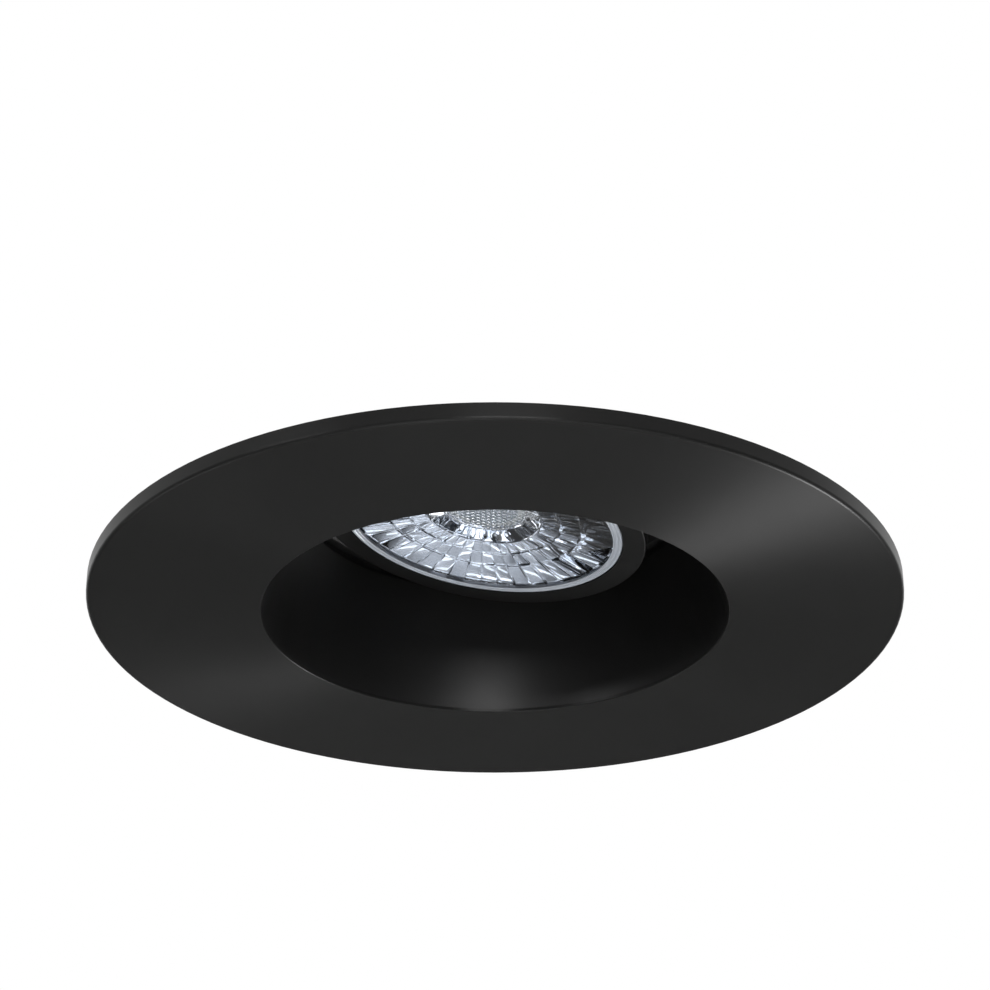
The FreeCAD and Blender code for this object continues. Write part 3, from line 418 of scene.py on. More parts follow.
# The lens's rim: a greyer, rougher, less clear copy of the optic; its light grey base is a painted
# reflection, standing in for the white sheen on clear plastic.
RIM = ClearFinish("optic_rim", (0.54, 0.58, 0.64), roughness=0.15, clearness=0.55)
MODULE_PAINT = Finish(
    "bezel_black", (0.0035, 0.0035, 0.0035), (0.005, 0.005, 0.0049), (0.36, 0.42), Pattern.SPRAY,
    patch_size=4.0, grain_size=0.12, relief=0.003, specular=0.12, leaned=True,
)
FINISHES: tuple[Finish | ClearFinish, ...] = (
    Finish(
        "trim_black", (0.0035, 0.0035, 0.0034), (0.005, 0.005, 0.0048), (0.33, 0.35), Pattern.TURNED,
        patch_size=14.0, grain_size=0.2, relief=0.002, specular=0.15, stretch=0.85, stretch_turn=0.25,
    ),
    Finish(
        "baffle_black", (0.0022, 0.0022, 0.0022), (0.0030, 0.0030, 0.0030), (0.40, 0.46), Pattern.SPRAY,
        patch_size=8.0, grain_size=0.15, relief=0.004, specular=0.25,
    ),
    Finish("foam", (0.02, 0.02, 0.021), (0.045, 0.045, 0.047), (0.85, 0.95), Pattern.FOAM,
           patch_size=2.0, grain_size=0.35, relief=0.12, specular=0.3),
    Finish("cast_black", (0.012, 0.012, 0.012), (0.022, 0.022, 0.022), (0.45, 0.6), Pattern.CAST,
           patch_size=3.0, grain_size=0.25, relief=0.02),
    Finish("zinc_steel", (0.55, 0.56, 0.57), (0.72, 0.73, 0.75), (0.26, 0.42), Pattern.SPANGLE,
           metallic=1.0, patch_size=2.5, grain_size=0.9, relief=0.006),
    Finish("gimbal_black", (0.012, 0.012, 0.012), (0.018, 0.018, 0.018), (0.4, 0.5), Pattern.SPRAY,
           patch_size=4.0, grain_size=0.2, relief=0.006),
    Finish("screw_steel", (0.45, 0.45, 0.46), (0.62, 0.62, 0.63), (0.25, 0.36), Pattern.MOULDED,
           metallic=1.0, patch_size=1.5, grain_size=0.1, relief=0.004),
    MODULE_PAINT,
    Finish("silicone", (0.35, 0.36, 0.38), (0.45, 0.46, 0.48), (0.5, 0.6), Pattern.MOULDED,
           patch_size=2.0, grain_size=0.2, relief=0.004),
    Finish("mirror_metal", (0.58, 0.61, 0.66), (0.66, 0.69, 0.74), (0.0, 0.02), Pattern.MOULDED,
           metallic=1.0, patch_size=2.0, grain_size=1.5, relief=0.004),
    Finish("phosphor", (0.34, 0.36, 0.39), (0.46, 0.48, 0.50), (0.5, 0.6), Pattern.CAST,
           patch_size=0.8, grain_size=0.2, relief=0.02),
    Finish("board_ceramic", (0.75, 0.74, 0.70), (0.82, 0.81, 0.78), (0.35, 0.5), Pattern.MOULDED,
           patch_size=2.0, grain_size=0.2, relief=0.004),
    Finish("pad_grey", (0.25, 0.26, 0.28), (0.32, 0.33, 0.35), (0.7, 0.8), Pattern.MOULDED,
           patch_size=1.0, grain_size=0.2, relief=0.01),
    Finish("white_plastic", (0.74, 0.74, 0.72), (0.80, 0.80, 0.78), (0.38, 0.48), Pattern.MOULDED,
           patch_size=3.0, grain_size=0.2, relief=0.005),
    Finish("washer_plastic", (0.62, 0.58, 0.50), (0.68, 0.64, 0.56), (0.4, 0.5), Pattern.MOULDED,
           patch_size=2.0, grain_size=0.2, relief=0.005),
    Finish("sink_black", (0.016, 0.016, 0.017), (0.028, 0.028, 0.030), (0.36, 0.5), Pattern.CAST,
           patch_size=3.5, grain_size=0.22, relief=0.018),
    Finish("gland_plastic", (0.014, 0.014, 0.015), (0.022, 0.022, 0.023), (0.4, 0.5), Pattern.MOULDED,
           patch_size=2.0, grain_size=0.15, relief=0.008),
    Finish("clip_rubber", (0.022, 0.022, 0.023), (0.035, 0.035, 0.036), (0.7, 0.82), Pattern.MOULDED,
           patch_size=1.5, grain_size=0.15, relief=0.012),
    Finish("spring_steel", (0.60, 0.59, 0.57), (0.74, 0.73, 0.71), (0.2, 0.32), Pattern.DRAWN,
           metallic=1.0, patch_size=1.0, grain_size=0.12, relief=0.004),
    ClearFinish(),
    RIM,
)


class Workpiece:
    """A mesh in the making, in millimetres round its own upright axis."""

    def __init__(self, name: str) -> None:
        """Starts an empty piece.

        Args:
            name: the piece's name.
        """
        self.name = name
        self.mesh = bmesh.new()

    def lathe(self, profile: Sequence[Point], steps: int) -> "Workpiece":
        """Spins a closed profile into a ring, or into a disc where it touches the axis.

        Args:
            profile: (radius, height) corners, in order.
            steps: how many stations make the full turn.

        Returns:
            This piece.
        """
        corners = [self.mesh.verts.new((radius, 0.0, height)) for radius, height in profile]
        edges = []
        for here, there in zip(corners, corners[1:] + corners[:1]):
            if here.co.x > 0.0 or there.co.x > 0.0:
                edges.append(self.mesh.edges.new((here, there)))
        bmesh.ops.spin(
            self.mesh,
            geom=corners + edges,
            cent=(0.0, 0.0, 0.0),
            axis=(0.0, 0.0, 1.0),
            angle=math.tau,
            steps=steps,
            use_merge=True,
        )
        return self.seal()

    def round_edges(self, size: float, segments: int) -> None:
        """Rounds every edge.

        Args:
            size: how far the round reaches from the edge.
            segments: how many faces it has.
        """
        bmesh.ops.bevel(
            self.mesh, geom=self.mesh.edges[:], offset=size, offset_type="OFFSET", segments=segments,
            profile=0.5, affect="EDGES", material=-1, clamp_overlap=True,
        )

    def seal(self) -> "Workpiece":
        """Merges doubles and turns the faces outwards."""
        bmesh.ops.remove_doubles(self.mesh, verts=self.mesh.verts, dist=HAIR)
        bmesh.ops.dissolve_degenerate(self.mesh, edges=self.mesh.edges, dist=SLIVER)
        bmesh.ops.recalc_face_normals(self.mesh, faces=self.mesh.faces)
        return self

    def finish(
        self, body: str | None, material: bpy.types.Material, place: Matrix, sharp: float
    ) -> bpy.types.Object:
        """Puts the piece in the scene.

        Args:
            body: the CAD body that it moves with, or None to leave it on no body.
            material: its finish.
            place: its place in the lamp, in millimetres.
            sharp: edges that turn by more than this many degrees stay crisp.

        Returns:
            The object.
        """
        limit = math.radians(sharp)
        for face in self.mesh.faces:
            face.smooth = True
        for edge in self.mesh.edges:
            if edge.smooth and len(edge.link_faces) == 2:
                edge.smooth = edge.calc_face_angle(0.0) < limit
        self.mesh.transform(Matrix.Scale(METRE, 4) @ place)
        data = bpy.data.meshes.new(self.name)
        self.mesh.to_mesh(data)
        self.mesh.free()
        data.materials.append(material)
        made = bpy.data.objects.new(self.name, data)
        bpy.context.scene.collection.objects.link(made)
        if body:
            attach(made, body)
        LOG.info("%s: %d faces, on %s", self.name, len(data.polygons), body or "two bodies")
        return made


@dataclass
class Optics:
    """Clear faceted lens and the bright bowl behind it, round the module's own axis."""

    face: float = -13.85
    lens_radius: float = 21.5
    flange_radius: float = 23.6
    flange_front: float = -12.65
    flange_back: float = -11.65
    rows: tuple[Point, ...] = ((20.2, -11.65), (15.1, -10.45), (11.9, -9.55), (9.0, -8.75), (6.5, -5.95))
    inner_row: int = 3
    columns: int = 48
    splits: int = 8
    crowding: float = 0.8
    lens_pillow: tuple[float, ...] = (0.05, 0.05, 0.05, 0.05)
    bowl_pillow: tuple[float, ...] = (0.05, 0.05, 0.05, 0.05)
    lens_lean: float = 4.0
    bowl_lean: float = 9.0
    lens_ridge: float = 0.07
    bowl_ridge: float = 0.0
    inner_wide: float = 2.0
    bowl_gap: float = 0.35
    bowl_wall: float = 0.8
    lip_drop: float = 0.3
    hole_wall: float = 0.3
    skirt_radius: float = 21.75
    skirt_top: float = -3.95
    dimple_pitch: float = 0.8
    dimple_height: float = 0.13
    dimple_ways: int = 3
    dimple_border: float = 0.1
    face_stations: tuple[float, ...] = (0.0, 7.0, 14.0, 20.15)
    face_rings: tuple[Point, ...] = ((20.3, 0.1), (20.45, 0.0), (20.8, 0.0), (20.9, 0.08), (21.0, 0.0))
    edge_round: float = 0.15
    disc_steps: int = 48
    sharp: float = 60.0
    seed: int = 5

    def crowded(self, share: float) -> float:
        """Draws evenly spaced stations towards both ends of their run.

        Args:
            share: the place along the run, from 0 to 1.

        Returns:
            The new place.
        """
        return share - self.crowding * math.sin(math.tau * share) / math.tau

    def stations(self, lift: float) -> list[Point]:
        """The rows of facets, each split into stations.

        Args:
            lift: how far the rows lie above the lens's own.

        Returns:
            The stations, from the rim to the hole.
        """
        corners = [(radius, height + lift) for radius, height in self.rows]
        split: list[Point] = []
        for here, there in zip(corners, corners[1:]):
            for number in range(self.splits):
                share = self.crowded(number / self.splits)
                split.append(
                    (here[0] + (there[0] - here[0]) * share, here[1] + (there[1] - here[1]) * share)
                )
        return split + [corners[-1]]

    @staticmethod
    def row_at(corners: Sequence[Point], radius: float, height: float) -> tuple[int, float] | None:
        """Finds the row that a point lies on.

        Args:
            corners: the rows' ends, from the rim to the hole.
            radius: the point's distance from the axis.
            height: its height.

        Returns:
            The row's number and the share of the row behind the point, or None off the rows.
        """
        for number, (outer, inner) in enumerate(zip(corners, corners[1:])):
            share = (outer[0] - radius) / (outer[0] - inner[0])
            level = outer[1] + (inner[1] - outer[1]) * share
            if -HAIR < share < 1.0 + HAIR and abs(height - level) <= NEAR:
                return number, share
        return None

    def facet(
        self, piece: Workpiece, lift: float, pillow: Sequence[float], lean: float, ridge: float
    ) -> None:
        """Shapes the turned rows into cells: flat, a little leaned and swollen, with ridges between.

        Args:
            piece: the turned lens or bowl.
            lift: how far its rows lie above the lens's own.
            pillow: how far each row's cells swell towards the back.
            lean: the most that a cell leans either way, in degrees.
            ridge: how far the borders stand towards the front.
        """
        draw = random.Random(self.seed)
        most = math.tan(math.radians(lean))
        leans = [
            [(draw.uniform(-most, most), draw.uniform(-most, most)) for _ in range(self.columns)]
            for _ in self.rows[1:]
        ]
        corners = [(radius, height + lift) for radius, height in self.rows]
        step = math.tau / self.columns
        for vert in piece.mesh.verts:
            radius = math.hypot(vert.co.x, vert.co.y)
            found = self.row_at(corners, radius, vert.co.z)
            if found is None:
                continue
            number, share = found
            outer, inner = corners[number], corners[number + 1]
            wide = step * (self.inner_wide if number == self.inner_row else 1.0)
            place = math.atan2(vert.co.y, vert.co.x) % math.tau / wide
            column = int(place + HAIR)
            turn = self.crowded(place - column)
            angle = (column + turn) * wide
            flat = math.cos(wide / 2.0) / math.cos((turn - 0.5) * wide)
            run = Vector((inner[0] - outer[0], inner[1] - outer[1]))
            slope = run.normalized()
            rim = number == 0 and share < NEAR
            hole = number == self.inner_row and share > 1.0 - NEAR
            swelling = 0.0 if rim or hole else -ridge
            if NEAR < turn < 1.0 - NEAR and NEAR < share < 1.0 - NEAR:
                aside, along = leans[number][column % self.columns]
                crown = 16.0 * turn * (1.0 - turn) * share * (1.0 - share)  # 1 in the middle
                swelling = (
                    pillow[number] * crown
                    + aside * (turn - 0.5) * wide * radius
                    + along * (share - 0.5) * run.length
                )
            beyond = radius * flat + slope.y * swelling
            vert.co = (
                beyond * math.cos(angle), beyond * math.sin(angle), vert.co.z - slope.x * swelling
            )

    def dimple(self, piece: Workpiece) -> None:
        """Presses a field of small domes into the flat disc at the lens's back.

        Args:
            piece: the turned lens.
        """
        reach, level = self.rows[-1]
        for vert in piece.mesh.verts:
            radius = math.hypot(vert.co.x, vert.co.y)
            if radius < reach - self.dimple_border and abs(vert.co.z - level) < NEAR:
                wave = 1.0
                for turn in range(self.dimple_ways):
                    angle = math.pi * turn / self.dimple_ways
                    along = vert.co.x * math.cos(angle) + vert.co.y * math.sin(angle)
                    wave *= math.cos(math.pi * along / self.dimple_pitch) ** 2
                vert.co.z -= self.dimple_height * (1.0 - wave)

    def lens(
        self, material: bpy.types.Material, rim: bpy.types.Material, place: Matrix
    ) -> bpy.types.Object:
        """The clear lens: fine rings on its rim, rows of facets and a dimpled disc.

        Args:
            material: its finish.
            rim: the finish of its moulded rim, whose light grey is a painted reflection.
            place: the module's place in the lamp.

        Returns:
            The object.
        """
        piece = Workpiece("lens_optic")
        edge = self.lens_radius
        front = [(radius, self.face) for radius in self.face_stations]
        rings = [(radius, self.face + depth) for radius, depth in self.face_rings]
        rings += [(edge - self.edge_round, self.face), (edge, self.face + self.edge_round)]
        side = [
            (edge, self.flange_front), (self.flange_radius, self.flange_front),
            (self.flange_radius, self.flange_back),
        ]
        reach, level = self.rows[-1]
        shares = [number / self.disc_steps for number in range(1, self.disc_steps + 1)]
        disc = [(reach * (1.0 - share), level) for share in shares]
        profile = front + rings + side + self.stations(0.0) + disc
        piece.lathe(profile, self.columns * self.splits)
        self.facet(piece, 0.0, self.lens_pillow, self.lens_lean, self.lens_ridge)
        self.dimple(piece)
        for face in piece.mesh.faces:
            middle = face.calc_center_median()
            if math.hypot(middle.x, middle.y) > self.rows[0][0]:
                face.material_index = 1
        made = piece.finish("module", material, place, self.sharp)
        made.data.materials.append(rim)
        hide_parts("lens")
        return made

    def bowl(self, material: bpy.types.Material, place: Matrix) -> bpy.types.Object:
        """The bright bowl, with a pillow in each of its facets.

        Args:
            material: its finish.
            place: the module's place in the lamp.

        Returns:
            The object.
        """
        piece = Workpiece("reflector_bowl")
        inside = self.stations(self.bowl_gap)
        hole, hole_height = inside[-1]
        top = self.flange_back + self.bowl_gap
        behind = self.rows[1:4]
        back = [(radius, height + self.bowl_gap + self.bowl_wall) for radius, height in behind]
        skirt = [
            (self.skirt_radius - self.bowl_wall, top + self.bowl_wall),
            (self.skirt_radius - self.bowl_wall, self.skirt_top), (self.skirt_radius, self.skirt_top),
        ]
        lip = [(self.skirt_radius, top - self.lip_drop)]
        profile = lip + inside + [(hole, hole_height + self.hole_wall)] + back[::-1] + skirt
        piece.lathe(profile, self.columns * self.splits)
        self.facet(piece, self.bowl_gap, self.bowl_pillow, self.bowl_lean, self.bowl_ridge)
        made = piece.finish("module", material, place, self.sharp)
        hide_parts("reflector")
        return made


@dataclass
class Seals:
    """Foam ring, rubber pads and seals: the soft pieces of the lamp."""

    foam_inner: float = 50.3
    foam_outer: float = 57.5
    foam_floor: float = -1.0
    foam_top: float = 0.4
    foam_steps: int = 240
    foam_edge: float = 0.25
    foam_across: int = 10
    foam_dents: tuple[Point, ...] = ((0.16, 0.9), (0.05, 2.3))
    pad_root: float = 57.079
    pad_end: float = 64.879
    pad_tip: float = 64.079
    pad_side: float = 6.8
    pad_sole: float = 6.0
    pad_seat: float = 7.2
    pad_lip: float = 8.0
    rib_count: int = 6
    rib_depth: float = 0.35
    pad_round: float = 0.07
    ring_inner: float = 22.2
    ring_outer: float = 23.6
    ring_low: float = -11.65
    ring_high: float = -11.15
    ring_steps: int = 160
    bead_steps: int = 24
    bead_waist: float = 0.72
    bead_swell: float = 0.28
    sleeve_axis: float = 10.0
    sleeve_bore: float = 3.3
    sleeve_outer: float = 4.395
    sleeve_low: float = 12.0
    sleeve_high: float = 17.5
    sleeve_steps: int = 64
    sleeve_ribs: int = 5
    sleeve_rib_steps: int = 6
    sleeve_rib_half: float = 0.12
    sleeve_edge: float = 0.2
    heat_pad_half: float = 6.75
    heat_pad_low: float = -4.2
    heat_pad_high: float = -3.95
    heat_pad_round: float = 0.3
    sharp: float = 50.0
    pad_sharp: float = 40.0

    def gasket(self, material: bpy.types.Material) -> bpy.types.Object:
        """Foam ring in the flange's back, with a cut edge and an uneven skin.

        Args:
            material: its finish.

        Returns:
            The object.
        """
        piece = Workpiece("foam_ring")
        edge = self.foam_edge
        wide = self.foam_outer - self.foam_inner - 2.0 * edge
        shares = [number / self.foam_across for number in range(self.foam_across + 1)]
        top = [(self.foam_outer - edge - wide * share, self.foam_top) for share in shares]
        profile = [
            (self.foam_inner, self.foam_floor), (self.foam_outer, self.foam_floor),
            (self.foam_outer, self.foam_top - edge), *top, (self.foam_inner, self.foam_top - edge),
        ]
        piece.lathe(profile, self.foam_steps)
        for vert in piece.mesh.verts:
            if vert.co.z > self.foam_top - 2.0 * edge:
                dents = (depth * abs(noise.noise(vert.co * rate)) for depth, rate in self.foam_dents)
                vert.co.z -= sum(dents)
        made = piece.finish("root", material, Matrix.Identity(4), self.sharp)
        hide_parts("soffit_gasket")
        return made

    def clip_pad(self, side: str, material: bpy.types.Material) -> bpy.types.Object:
        """Rubber shoe on a clip's tip, ribbed across its sole.

        Args:
            side: "right" or "left".
            material: its finish.

        Returns:
            The object.
        """
        piece = Workpiece(f"clip_shoe_{side}")
        pitch = (self.pad_end - self.pad_root) / self.rib_count
        groove = self.pad_sole + self.rib_depth
        outline = [(self.pad_root, self.pad_seat)]
        for number in range(self.rib_count):
            start = self.pad_root + pitch * number
            outline += [
                (start, self.pad_sole + self.rib_depth * 0.4), (start + pitch * 0.2, self.pad_sole),
                (start + pitch * 0.62, self.pad_sole), (start + pitch * 0.74, groove),
                (start + pitch * 0.92, groove),
            ]
        outline += [
            (self.pad_end, groove), (self.pad_end, self.pad_lip),
            (self.pad_tip, self.pad_lip), (self.pad_tip, self.pad_seat),
        ]
        corners = [piece.mesh.verts.new((x, -self.pad_side, z)) for x, z in outline]
        face = piece.mesh.faces.new(corners)
        pulled = bmesh.ops.extrude_face_region(piece.mesh, geom=[face])
        moved = [item for item in pulled["geom"] if isinstance(item, bmesh.types.BMVert)]
        bmesh.ops.translate(piece.mesh, verts=moved, vec=(0.0, 2.0 * self.pad_side, 0.0))
        piece.round_edges(self.pad_round, 2)
        if side == "left":
            bmesh.ops.scale(piece.mesh, verts=piece.mesh.verts, vec=(-1.0, 1.0, 1.0))
        piece.seal()
        made = piece.finish(f"clip_{side}", material, Matrix.Identity(4), self.pad_sharp)
        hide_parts(f"clip_pad_{side}")
        return made

    def lens_ring(self, material: bpy.types.Material, place: Matrix) -> bpy.types.Object:
        """Rubber ring behind the lens's flange, with two sealing beads.

        Args:
            material: its finish.
            place: the module's place in the lamp.

        Returns:
            The object.
        """
        piece = Workpiece("lens_gasket")
        wide = self.ring_outer - self.ring_inner
        middle = (self.ring_low + self.ring_high) / 2.0
        thin = (self.ring_high - self.ring_low) / 2.0
        shares = [number / self.bead_steps for number in range(self.bead_steps + 1)]
        around = [
            (share, thin * (self.bead_waist + self.bead_swell * abs(math.sin(math.tau * share))))
            for share in shares
        ]
        profile = [(self.ring_inner + wide * share, middle - half) for share, half in around]
        profile += [(self.ring_inner + wide * share, middle + half) for share, half in reversed(around)]
        piece.lathe(profile, self.ring_steps)
        made = piece.finish("module", material, place, self.sharp)
        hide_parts("lens_seal")
        return made

    def sleeve(self, material: bpy.types.Material, place: Matrix) -> bpy.types.Object:
        """Rubber sleeve in the cable gland, ribbed in its bore.

        Args:
            material: its finish.
            place: the module's place in the lamp.

        Returns:
            The object.
        """
        piece = Workpiece("gland_sleeve")
        tall = self.sleeve_high - self.sleeve_low
        ribs = self.sleeve_ribs
        steps = ribs * self.sleeve_rib_steps
        bore = []
        for number in range(steps + 1):
            share = number / steps
            depth = self.sleeve_rib_half * (1.0 - math.cos(math.tau * share * ribs))
            bore.append((self.sleeve_bore + depth, self.sleeve_high - tall * share))
        edge = self.sleeve_edge
        outside = [
            (self.sleeve_outer - edge, self.sleeve_low), (self.sleeve_outer, self.sleeve_low + edge),
            (self.sleeve_outer, self.sleeve_high - edge), (self.sleeve_outer - edge, self.sleeve_high),
        ]
        piece.lathe(bore + outside, self.sleeve_steps)
        seat = place @ Matrix.Translation((self.sleeve_axis, 0.0, 0.0))
        made = piece.finish("module", material, seat, self.sharp)
        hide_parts("gland_seal")
        return made

    def heat_pad(self, material: bpy.types.Material, place: Matrix) -> bpy.types.Object:
        """Soft pad behind the board, pressed out a little between its faces.

        Args:
            material: its finish.
            place: the module's place in the lamp.

        Returns:
            The object.
        """
        piece = Workpiece("board_pad")
        middle = (self.heat_pad_low + self.heat_pad_high) / 2.0
        tall = self.heat_pad_high - self.heat_pad_low
        bmesh.ops.create_cube(piece.mesh, size=1.0)
        size = (2.0 * self.heat_pad_half, 2.0 * self.heat_pad_half, tall)
        bmesh.ops.scale(piece.mesh, verts=piece.mesh.verts, vec=size)
        bmesh.ops.translate(piece.mesh, verts=piece.mesh.verts, vec=(0.0, 0.0, middle))
        piece.round_edges(tall * self.heat_pad_round, 3)
        piece.seal()
        made = piece.finish("module", material, place, self.sharp)
        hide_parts("thermal_pad")
        return made


@dataclass
class ClipSpring:
    """Torsion spring on a clip's pin: a leg up the carrier, the turns, a leg on the arm."""

    wire: float = 0.5
    coil: float = 2.5
    turns: float = 3.25
    pitch: float = 1.5
    wall_leg: float = 5.0
    arm_leg: float = 9.0
    pin: Point = (47.0792, 11.0)
    steps: int = 32
    sides: int = 14
    sharp: float = 60.0

    def build(self, side: str, material: bpy.types.Material) -> bpy.types.Object:
        """Winds the spring, with one leg along the carrier and one along the clip's arm.

        Args:
            side: "right" or "left".
            material: its finish.

        Returns:
            The object.
        """
        piece = Workpiece(f"torsion_spring_{side}")
        mesh = piece.mesh
        across, height = self.pin
        half = self.pitch * self.turns / 2.0
        climb = self.pitch / math.tau
        down = Vector((0.0, climb, -self.coil)).normalized()
        out = Vector((self.coil, climb, 0.0)).normalized()
        first = Vector((across - self.coil, -half, height)) - down * self.wall_leg
        stand = Matrix.Translation(first) @ down.to_track_quat("Z", "Y").to_matrix().to_4x4()
        bmesh.ops.create_circle(mesh, cap_ends=True, segments=self.sides, radius=self.wire, matrix=stand)
        loop = self.pull(mesh, mesh.edges[:], down * self.wall_leg)
        wound = bmesh.ops.spin(
            mesh,
            geom=loop,
            cent=(across, 0.0, height),
            axis=(0.0, -1.0, 0.0),
            dvec=(0.0, self.pitch / self.steps, 0.0),
            angle=self.turns * math.tau,
            steps=round(self.turns * self.steps),
        )
        end_loop = [item for item in wound["geom_last"] if isinstance(item, bmesh.types.BMEdge)]
        loop = self.pull(mesh, end_loop, out * self.arm_leg)
        edges = [item for item in loop if isinstance(item, bmesh.types.BMEdge)]
        bmesh.ops.edgeloop_fill(mesh, edges=edges)
        turn = -1.0 if side == "left" else 1.0
        bmesh.ops.scale(mesh, verts=mesh.verts, vec=(turn, 1.0, 1.0))
        piece.seal()
        made = piece.finish(None, material, Matrix.Identity(4), self.sharp)
        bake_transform(made)
        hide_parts(f"clip_spring_{side}")
        return made

    @staticmethod
    def pull(mesh: bmesh.types.BMesh, edges: Sequence[bmesh.types.BMEdge], way: Vector) -> list:
        """Extrudes a loop along a straight leg.

        Args:
            mesh: the spring's mesh.
            edges: the loop.
            way: how far and which way.

        Returns:
            The new loop's vertices and edges.
        """
        pulled = bmesh.ops.extrude_edge_only(mesh, edges=edges)
        loop = [item for item in pulled["geom"] if not isinstance(item, bmesh.types.BMFace)]
        moved = [item for item in loop if isinstance(item, bmesh.types.BMVert)]
        bmesh.ops.translate(mesh, verts=moved, vec=way)
        far = set(moved)
        return [
            item for item in loop
            if isinstance(item, bmesh.types.BMVert) or all(vert in far for vert in item.verts)
        ]


@dataclass(frozen=True)
class SoftBox:
    """One rectangular lamp, hidden from the camera. Sizes are in metres, and power in watts."""

    label: str
    place: Spot
    size: Point
    power: float
    aim: Spot = (0.0, 0.0, 0.0)
    in_glass: bool = True

    def hang(self) -> None:
        """Puts the lamp in the scene."""
        data = bpy.data.lights.new(self.label, "AREA")
        data.shape = "RECTANGLE"
        data.size, data.size_y = self.size
        data.energy = self.power
        made = bpy.data.objects.new(self.label, data)
        made.location = self.place
        made.rotation_mode = "QUATERNION"
        made.rotation_quaternion = (Vector(self.aim) - Vector(self.place)).to_track_quat("-Z", "Y")
        made.visible_camera = False
        made.visible_transmission = self.in_glass
        bpy.context.scene.collection.objects.link(made)


SOFT_BOXES = (
    SoftBox("beyond", (0.42, 0.55, -0.64), (0.17, 0.17), 5.0, in_glass=False),
    SoftBox("side", (-0.5, 0.35, -0.6), (0.3, 0.3), 0.5, in_glass=False),
    SoftBox("below", (-0.12, -0.1, -0.72), (0.3, 0.3), 0.6, in_glass=False),
    SoftBox("near_below", (0.06, -0.46, -0.66), (1.1, 0.4), 3.6),
    SoftBox("front", (0.05, -0.8, -0.07), (0.3, 0.1), 3.0),
    SoftBox("rim_left", (-0.62, -0.5, -0.02), (0.3, 0.03), 1.2, in_glass=False),
    *(
        SoftBox(f"strip_{number}", (0.0, depth, -0.72), (1.1, 0.06), 0.32, aim=(0.0, depth, 0.0))
        for number, depth in enumerate((0.2, 0.45, 0.7))
    ),
    SoftBox("strip_side", (-0.45, 0.2, -0.62), (0.06, 0.9), 0.32, aim=(0.0, 0.2, 0.0)),
    SoftBox("above_left", (-0.35, -0.25, 0.4), (0.35, 0.35), 2.2, aim=(0.0, 0.0, 0.02)),
    SoftBox("above_back", (0.28, 0.36, 0.36), (0.3, 0.3), 1.6, aim=(0.0, 0.0, 0.02)),
)


